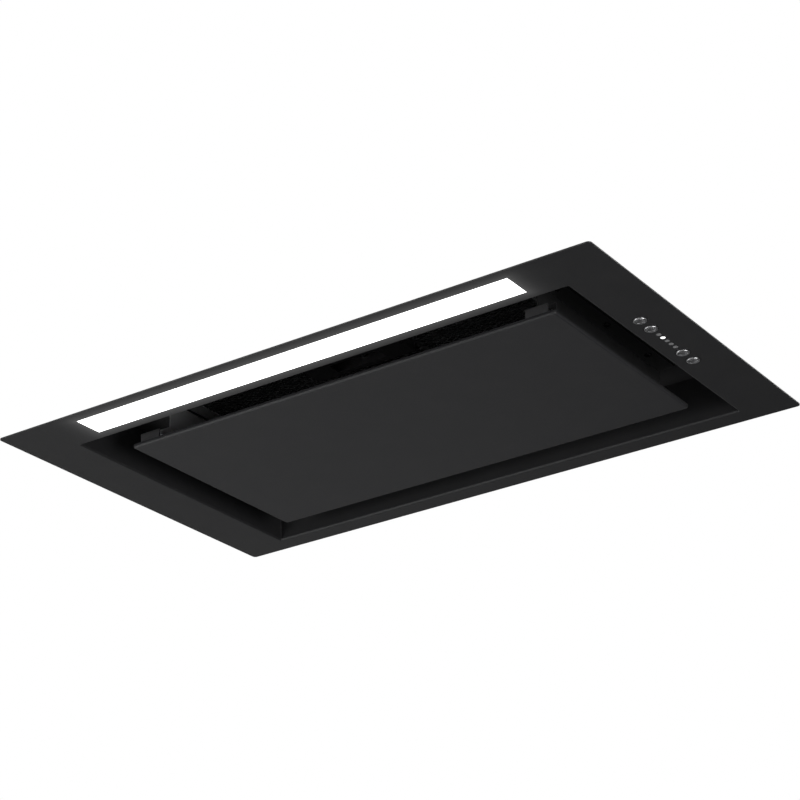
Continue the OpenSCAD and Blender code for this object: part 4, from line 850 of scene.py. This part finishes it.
def hex_nut(name, corner, height, bore, material):
    """A hexagon nut with chamfered corners and a threaded bore, standing on z = 0."""
    nut = prism(name, corner, 0.0, height, 6, material)
    flat, wide = 0.9 * corner, 1.02 * corner
    slope = 0.16 * height
    round_off = [(0.0, 0.0), (flat, 0.0), (wide, slope)]
    round_off += [(wide, height - slope), (flat, height), (0.0, height)]
    combine(nut, lathe("chamfer", round_off, material), "INTERSECT")
    thread = [(0.0, -0.2 * MM), (1.12 * bore, -0.2 * MM), (1.12 * bore, 0.1 * MM)]
    turns = 4
    for i in range(turns):
        z = (i + 0.5) * height / turns
        thread += [(bore, z), (1.1 * bore, z + 0.4 * height / turns)]
    thread += [(1.12 * bore, height + 0.2 * MM), (0.0, height + 0.2 * MM)]
    combine(nut, lathe("thread", thread, material, steps=24))
    smooth()
    return nut


class HOOD_OT_nuts(bpy.types.Operator):
    """Put hexagon nuts on the studs of the lamp and the controls"""

    bl_idname = "hood.nuts"
    bl_label = "Nuts"

    def execute(self, context):
        places = islands("stud_nuts")
        low, high = places[0]
        one = hex_nut("nut_one", (high.x - low.x) / 2, high.z - low.z, 2.06 * MM, "Plated steel")
        turns = []
        for count, (low, high) in enumerate(places):
            spot = Matrix.Translation(over_middle(low, high, low.z))
            turns.append(spot @ Matrix.Rotation(math.radians(21 * count), 4, "Z"))
        ride_on_hood(copies(one, "stud_nuts_cut", turns), "stud_nuts")
        return {"FINISHED"}


SEAM = 9 * MM
TOP_LIP = 1.3 * MM


class HOOD_OT_rivets(bpy.types.Operator):
    """Close the casing's sheet seams with blind rivets"""

    bl_idname = "hood.rivets"
    bl_label = "Seam rivets"

    def execute(self, context):
        head = context.scene.hood_detail.rivet_radius
        pin = [(0.0, 0.12), (0.28, 0.12), (0.33, 0.04), (0.36, 0.04)]
        dome = [(0.36, 0.3), (0.5, 0.36), (0.75, 0.27), (0.93, 0.14), (1.0, 0.0), (0.94, -0.08), (0.0, -0.08)]
        profile = [(head * r, head * z) for r, z in pin + dome]
        one = lathe("rivet_one", profile, "Rivet aluminium", steps=20)
        upper_low, upper_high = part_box("casing_upper")
        wall_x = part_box("casing_top")[1].x - TOP_LIP
        spots = []
        for share in (0.2, 0.45, 0.7, 0.92):
            z = upper_low.z + share * (upper_high.z - upper_low.z)
            spots.append((wall_x, upper_high.y - SEAM, z))
        for share in (0.3, 0.75):
            z = CASING_LOW.z + share * (CASING_HIGH.z - CASING_LOW.z)
            spots += [(CASING_HIGH.x, CASING_HIGH.y - SEAM, z), (CASING_HIGH.x, CASING_LOW.y + SEAM, z)]
        turns = []
        for x, y, z in spots:
            for side in (1, -1):
                turn = Matrix.Rotation(side * math.pi / 2, 4, "Y")
                turns.append(Matrix.Translation((side * x, y, z)) @ turn)
        ride_on_hood(copies(one, "casing_rivets", turns))
        return {"FINISHED"}


def ribbed_ring(name, low, high, radius, depth, count, material):
    """A ring with grip ribs: every other face of its side is drawn in."""
    piece = prism(name, radius, low, high, 2 * count, material)
    sides = [f for f in piece.data.polygons if abs(f.normal.z) < 0.5]
    sides.sort(key=lambda f: math.atan2(f.center.y, f.center.x))
    drawn_in = {f.index for f in sides[::2]}
    bpy.ops.object.mode_set(mode="EDIT")
    pick_faces(piece, lambda f: f.index in drawn_in)
    bpy.ops.mesh.inset(thickness=0.08 * radius, use_individual=True)
    bpy.ops.transform.shrink_fatten(value=-depth)
    bpy.ops.mesh.select_all(action="SELECT")
    bpy.ops.mesh.normals_make_consistent(inside=False)
    bpy.ops.object.mode_set(mode="OBJECT")
    return piece


PLASTIC = "Black plastic"
LEAD_R = 2.2 * MM
GLAND_CAP = ((0.88, 0.62), (0.84, 0.72), (0.74, 0.84), (0.62, 0.94))


class HOOD_OT_gland(bpy.types.Operator):
    """Build the supply cable's screwed gland and the leads' rubber grommets"""

    bl_idname = "hood.gland"
    bl_label = "Cable gland and grommets"

    def execute(self, context):
        low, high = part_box("cable_gland")
        r = (high.x - low.x) / 2
        long = 2.6 * r
        inside = (high.y - low.y) - long
        bore = 0.4 * r
        body = [(bore, -inside), (0.7 * r, -inside), (0.7 * r, 0.0), (0.85 * r, 0.0)]
        body += [(0.85 * r, 0.7 * r), (0.88 * r, 0.7 * r)]
        body += [(across * r, share * long) for across, share in GLAND_CAP]
        body += [(0.55 * r, long - 0.4 * MM), (0.5 * r, long), (0.46 * r, long)]
        body += [(0.46 * r, 0.8 * long), (bore, 0.76 * long), (bore, -inside)]
        core = lathe("gland_core", body, PLASTIC)
        nut = prism("gland_nut", r, 0.0, 0.5 * r, 6, PLASTIC)
        edge = [(0.0, 0.0), (0.92 * r, 0.0), (r, 0.08 * r)]
        edge += [(r, 0.42 * r), (0.92 * r, 0.5 * r), (0.0, 0.5 * r)]
        combine(nut, lathe("nut_edge", edge, PLASTIC), "INTERSECT")
        hole = [(0.0, -r), (0.8 * r, -r)]
        combine(nut, lathe("nut_hole", hole + [(0.8 * r, r), (0.0, r)], PLASTIC))
        grip = ribbed_ring("gland_grip", 0.7 * r, 0.6 * long, 0.995 * r, 0.07 * r, 18, PLASTIC)
        combine(grip, lathe("grip_hole", hole + [(0.8 * r, long), (0.0, long)], PLASTIC))
        join((core, nut, grip))
        smooth()
        spot = Matrix.Translation(((low.x + high.x) / 2, high.y - long, (low.z + high.z) / 2))
        ride_on_hood(copies(core, "cable_gland_cut", [spot @ TO_Y]), "cable_gland")
        inner = bore - 0.2 * MM
        seal = [(inner, 0.79 * long), (0.45 * r, 0.79 * long), (0.45 * r, 0.985 * long)]
        seal += [(0.42 * r, long), (inner, 0.96 * long), (inner, 0.79 * long)]
        ring = lathe("seal_one", seal, "Rubber")
        ride_on_hood(copies(ring, "gland_seal", [spot @ TO_Y]))

        wall = context.scene.hood_detail.grommet_wall
        rim = [(LEAD_R, -2 * wall), (LEAD_R + wall, -1.8 * wall), (LEAD_R + 1.5 * wall, -1.3 * wall)]
        rim += [(LEAD_R + 1.8 * wall, 0.0), (LEAD_R, 0.0), (LEAD_R, -2 * wall)]
        grommet = lathe("grommet_one", rim, "Rubber", steps=28)
        box_low, box_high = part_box("electronics_box")
        lamp_low, lamp_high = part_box("lamp_lead")
        control_low, control_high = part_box("control_lead")
        height = lamp_high.z - LEAD_R
        across = Matrix.Rotation(-math.pi / 2, 4, "Y")
        places = [Matrix.Translation((lamp_low.x + LEAD_R, box_low.y, height)) @ TO_Y,
                  Matrix.Translation((box_high.x, (control_low.y + control_high.y) / 2, height)) @ across]
        ride_on_hood(copies(grommet, "lead_grommets", places))
        return {"FINISHED"}


# Filter


GRIP_GAP = 0.3 * MM
COVER_BORDER = 10.5 * MM


class HOOD_OT_filter_mesh(bpy.types.Operator):
    """Stretch the filter's lower cover from sheet aluminium into diamonds"""

    bl_idname = "hood.filter_mesh"
    bl_label = "Expanded filter cover"

    def execute(self, context):
        detail = context.scene.hood_detail
        low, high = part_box("filter_cover")
        grip_low, grip_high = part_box("filter_grip")
        cells = 64
        long, short = detail.diamond_length, detail.diamond_length * 0.56
        deselect()
        bpy.ops.mesh.primitive_grid_add(
            x_subdivisions=cells, y_subdivisions=cells, size=cells / math.sqrt(2),
            rotation=(0.0, 0.0, math.pi / 4))
        cover = bpy.context.object
        bpy.ops.object.transform_apply()
        cover.scale = (long, short, 1.0)
        cover.location = (low + high) / 2
        bpy.ops.object.transform_apply()
        bpy.ops.object.mode_set(mode="EDIT")
        for point, normal in ((low, (-1, 0, 0)), (high, (1, 0, 0)), (low, (0, -1, 0)), (high, (0, 1, 0))):
            bisect(point, normal, clear_outer=True)
        left, right, top = grip_low.x - GRIP_GAP, grip_high.x + GRIP_GAP, grip_high.y + GRIP_GAP
        for x in (left, right):
            bisect((x, 0.0, 0.0), (1.0, 0.0, 0.0))
        bisect((0.0, top, 0.0), (0.0, 1.0, 0.0))
        pick_faces(cover, lambda f: left < f.center.x < right and f.center.y < top)
        bpy.ops.mesh.delete(type="FACE")
        whole = long * short / 2
        border = Vector((COVER_BORDER, COVER_BORDER, 0.0))
        inner = (low + border, high - border)
        pick_faces(cover, lambda f: within(f.center, inner) and f.area > 0.6 * whole)
        bpy.ops.mesh.inset(thickness=detail.strand_width / 2, use_individual=True, use_even_offset=True)
        bpy.ops.mesh.delete(type="FACE")
        bpy.ops.object.mode_set(mode="OBJECT")
        sheet = cover.modifiers.new("Sheet", "SOLIDIFY")
        sheet.thickness = high.z - low.z
        sheet.offset = 0.0
        bpy.ops.object.modifier_apply(modifier=sheet.name)
        name_piece("filter_cover_expanded", "Expanded aluminium")
        ride_on_hood(cover, "filter_cover")
        return {"FINISHED"}


# Stage


BOARD_RISE = 1.3 * MM


def cabinet_board(stage):
    """The white bottom of the cabinet that the hood is built into, seen only from below."""
    border = Vector((stage.cabinet_border, stage.cabinet_border, 0.0))
    lap = Vector((stage.board_overlap, stage.board_overlap, 0.0))
    hole = (FACADE_LOW + lap, FACADE_HIGH - lap)
    low, high = FACADE_LOW - border, FACADE_HIGH + border
    middle = over_middle(low, high, FACADE_LOW.z + BOARD_RISE)
    deselect()
    bpy.ops.mesh.primitive_plane_add(size=1.0, location=middle, rotation=(math.pi, 0.0, 0.0))
    board = bpy.context.object
    board.name = "cabinet_bottom"
    board.scale = (high.x - low.x, high.y - low.y, 1.0)
    bpy.ops.object.transform_apply()
    bpy.ops.object.mode_set(mode="EDIT")
    for point in hole:
        bisect(point, (1, 0, 0))
        bisect(point, (0, 1, 0))
    pick_faces(board, lambda f: within(f.center, hole))
    bpy.ops.mesh.delete(type="FACE")
    bpy.ops.object.mode_set(mode="OBJECT")
    board.data.materials.append(board_material())


def board_material():
    """White to an eye below it, and nothing to light or to an eye above it."""
    made = bpy.data.materials.new("Cabinet board")
    made.use_nodes = True
    t = Tree(made.node_tree)
    t.tree.nodes.remove(t.tree.nodes["Principled BSDF"])
    white = t.add("ShaderNodeEmission")
    t.put(white, Color=(1.0, 1.0, 1.0), Strength=1.0)
    clear = t.add("ShaderNodeBsdfTransparent")
    seen = t.math("MULTIPLY", t.add("ShaderNodeLightPath").outputs["Is Camera Ray"],
                  t.math("SUBTRACT", 1.0, t.add("ShaderNodeNewGeometry").outputs["Backfacing"]))
    blend = t.add("ShaderNodeMixShader")
    t.feed(blend.inputs[0], seen)
    t.feed(blend.inputs[1], clear.outputs[0])
    t.feed(blend.inputs[2], white.outputs[0])
    t.feed(t.tree.nodes["Material Output"].inputs["Surface"], blend.outputs[0])
    return made


def floor_material():
    """Pale matt floor that throws little light back up and turns white far away, so that no horizon shows."""
    t, shader = start_material("Floor")
    soft = t.noise("unevenness", t.object_place(), 0.8, Detail=1.0)
    pale = t.mix(soft["Fac"], (0.80, 0.80, 0.79), (0.84, 0.84, 0.83))
    seen = t.add("ShaderNodeLightPath").outputs["Is Camera Ray"]
    t.put(shader, Base_Color=t.mix(seen, (0.16, 0.16, 0.16), pale), Roughness=0.9)
    far = t.spread(t.vector("LENGTH", t.object_place()), 3.5, 10.5)
    glow = t.mix(far, pale, (1.7, 1.7, 1.7))
    t.put(shader, Emission_Color=t.mix(seen, (0.0, 0.0, 0.0), glow))
    t.put(shader, Emission_Strength=0.62)


def studio_world(stage):
    """White behind the object, softer to the pieces themselves."""
    world = bpy.data.worlds.new("Studio")
    bpy.context.scene.world = world
    world.use_nodes = True
    t = Tree(world.node_tree)
    seen = t.add("ShaderNodeLightPath").outputs["Is Camera Ray"]
    back = t.tree.nodes["Background"]
    t.put(back, Color=t.mix(seen, (0.97, 0.985, 1.0), (1.0, 1.0, 1.0)))
    t.put(back, Strength=t.spread(seen, 0.0, 1.0, stage.room_light, 1.0))


def area_light(name, place, target, width, height, power):
    bpy.ops.object.light_add(type="AREA", location=place)
    lamp = bpy.context.object
    lamp.name = name
    lamp.data.shape = "RECTANGLE"
    lamp.data.size, lamp.data.size_y = width, height
    lamp.data.energy = power
    lamp.rotation_euler = (Vector(target) - Vector(place)).to_track_quat("-Z", "Y").to_euler()


CENTRE = (CAD_BOX[0] + CAD_BOX[1]) / 2
# Name, place, target, width, height and power of each light
LIGHTS = (
    ("Key from above", (-1.5, -1.9, 2.1), CENTRE, 1.6, 1.6, 34.0),
    ("Fill from above", (2.2, -0.4, 1.5), CENTRE, 1.8, 1.4, 38.0),
    ("Rim from behind", (0.4, 2.4, 1.6), CENTRE, 1.6, 1.2, 26.0),
    ("Softbox beside the camera", (0.35, -1.5, -0.75), ORIGIN, 1.3, 1.0, 3.0),
    ("Low softbox", (-1.1, -0.1, -1.3), ORIGIN, 1.2, 1.2, 9.0),
    ("Far softbox", (-1.3, 1.7, -0.3), (0.2, 0.0, 0.0), 1.2, 0.5, 0.9),
    ("Near strip light", (-0.55, -0.85, -0.34), (-0.1, 0.0, 0.0), 0.5, 0.3, 2.8),
    ("Softbox on the right", (1.5, -0.35, -0.62), ORIGIN, 1.0, 0.8, 14.0),
)


class HOOD_OT_stage(bpy.types.Operator):
    """Set up the camera, the cabinet's bottom board, the floor and the lights"""

    bl_idname = "hood.stage"
    bl_label = "Stage"

    def execute(self, context):
        stage = context.scene.hood_stage
        right = Vector(stage.camera_right).normalized()
        back = -Vector(stage.camera_forward).normalized()
        up = back.cross(right).normalized()
        right = up.cross(back)
        turn = Matrix((right, up, back)).transposed().to_4x4()
        bpy.ops.object.camera_add()
        camera = context.object
        face = Vector((0.0, 0.0, FACADE_LOW.z))
        camera.matrix_world = Matrix.Translation(face + Vector(stage.camera_place)) @ turn
        camera.data.lens = stage.lens
        camera.data.sensor_width = 36.0
        camera.data.clip_start, camera.data.clip_end = 0.05, 40.0
        context.scene.camera = camera
        cabinet_board(stage)
        deselect()
        bpy.ops.mesh.primitive_plane_add(size=24.0, location=(0.0, 0.0, -stage.floor_drop))
        floor = context.object
        floor.name = "floor"
        floor_material()
        floor.data.materials.append(bpy.data.materials["Floor"])
        studio_world(stage)
        for light in LIGHTS:
            area_light(*light)
        context.scene.view_settings.view_transform = "Standard"
        return {"FINISHED"}


class HOOD_PT_panel(bpy.types.Panel):
    """Lists the steps that dress the hood"""

    bl_idname = "HOOD_PT_panel"
    bl_label = "Range hood"
    bl_space_type = "VIEW_3D"
    bl_region_type = "UI"
    bl_category = "Hood"

    def draw(self, context):
        for step in STEPS:
            self.layout.operator(step.bl_idname)
        for settings in (context.scene.hood_finish, context.scene.hood_detail, context.scene.hood_stage):
            for name in settings.__annotations__:
                self.layout.prop(settings, name)


STEPS = (HOOD_OT_finishes, HOOD_OT_buttons, HOOD_OT_screws, HOOD_OT_nuts, HOOD_OT_rivets, HOOD_OT_gland,
         HOOD_OT_filter_mesh, HOOD_OT_stage)
CLASSES = (HoodFinish, HoodDetail, HoodStage, *STEPS, HOOD_PT_panel)


def register():
    for cls in CLASSES:
        bpy.utils.register_class(cls)
    bpy.types.Scene.hood_finish = bpy.props.PointerProperty(type=HoodFinish)
    bpy.types.Scene.hood_detail = bpy.props.PointerProperty(type=HoodDetail)
    bpy.types.Scene.hood_stage = bpy.props.PointerProperty(type=HoodStage)


def unregister():
    del bpy.types.Scene.hood_stage
    del bpy.types.Scene.hood_detail
    del bpy.types.Scene.hood_finish
    for cls in reversed(CLASSES):
        bpy.utils.unregister_class(cls)


def main():
    register()
    bpy.ops.hood.finishes()
    bpy.ops.hood.buttons()
    bpy.ops.hood.screws()
    bpy.ops.hood.nuts()
    bpy.ops.hood.rivets()
    bpy.ops.hood.gland()
    bpy.ops.hood.filter_mesh()
    bpy.ops.hood.stage()


if __name__ == "__main__":
    main()
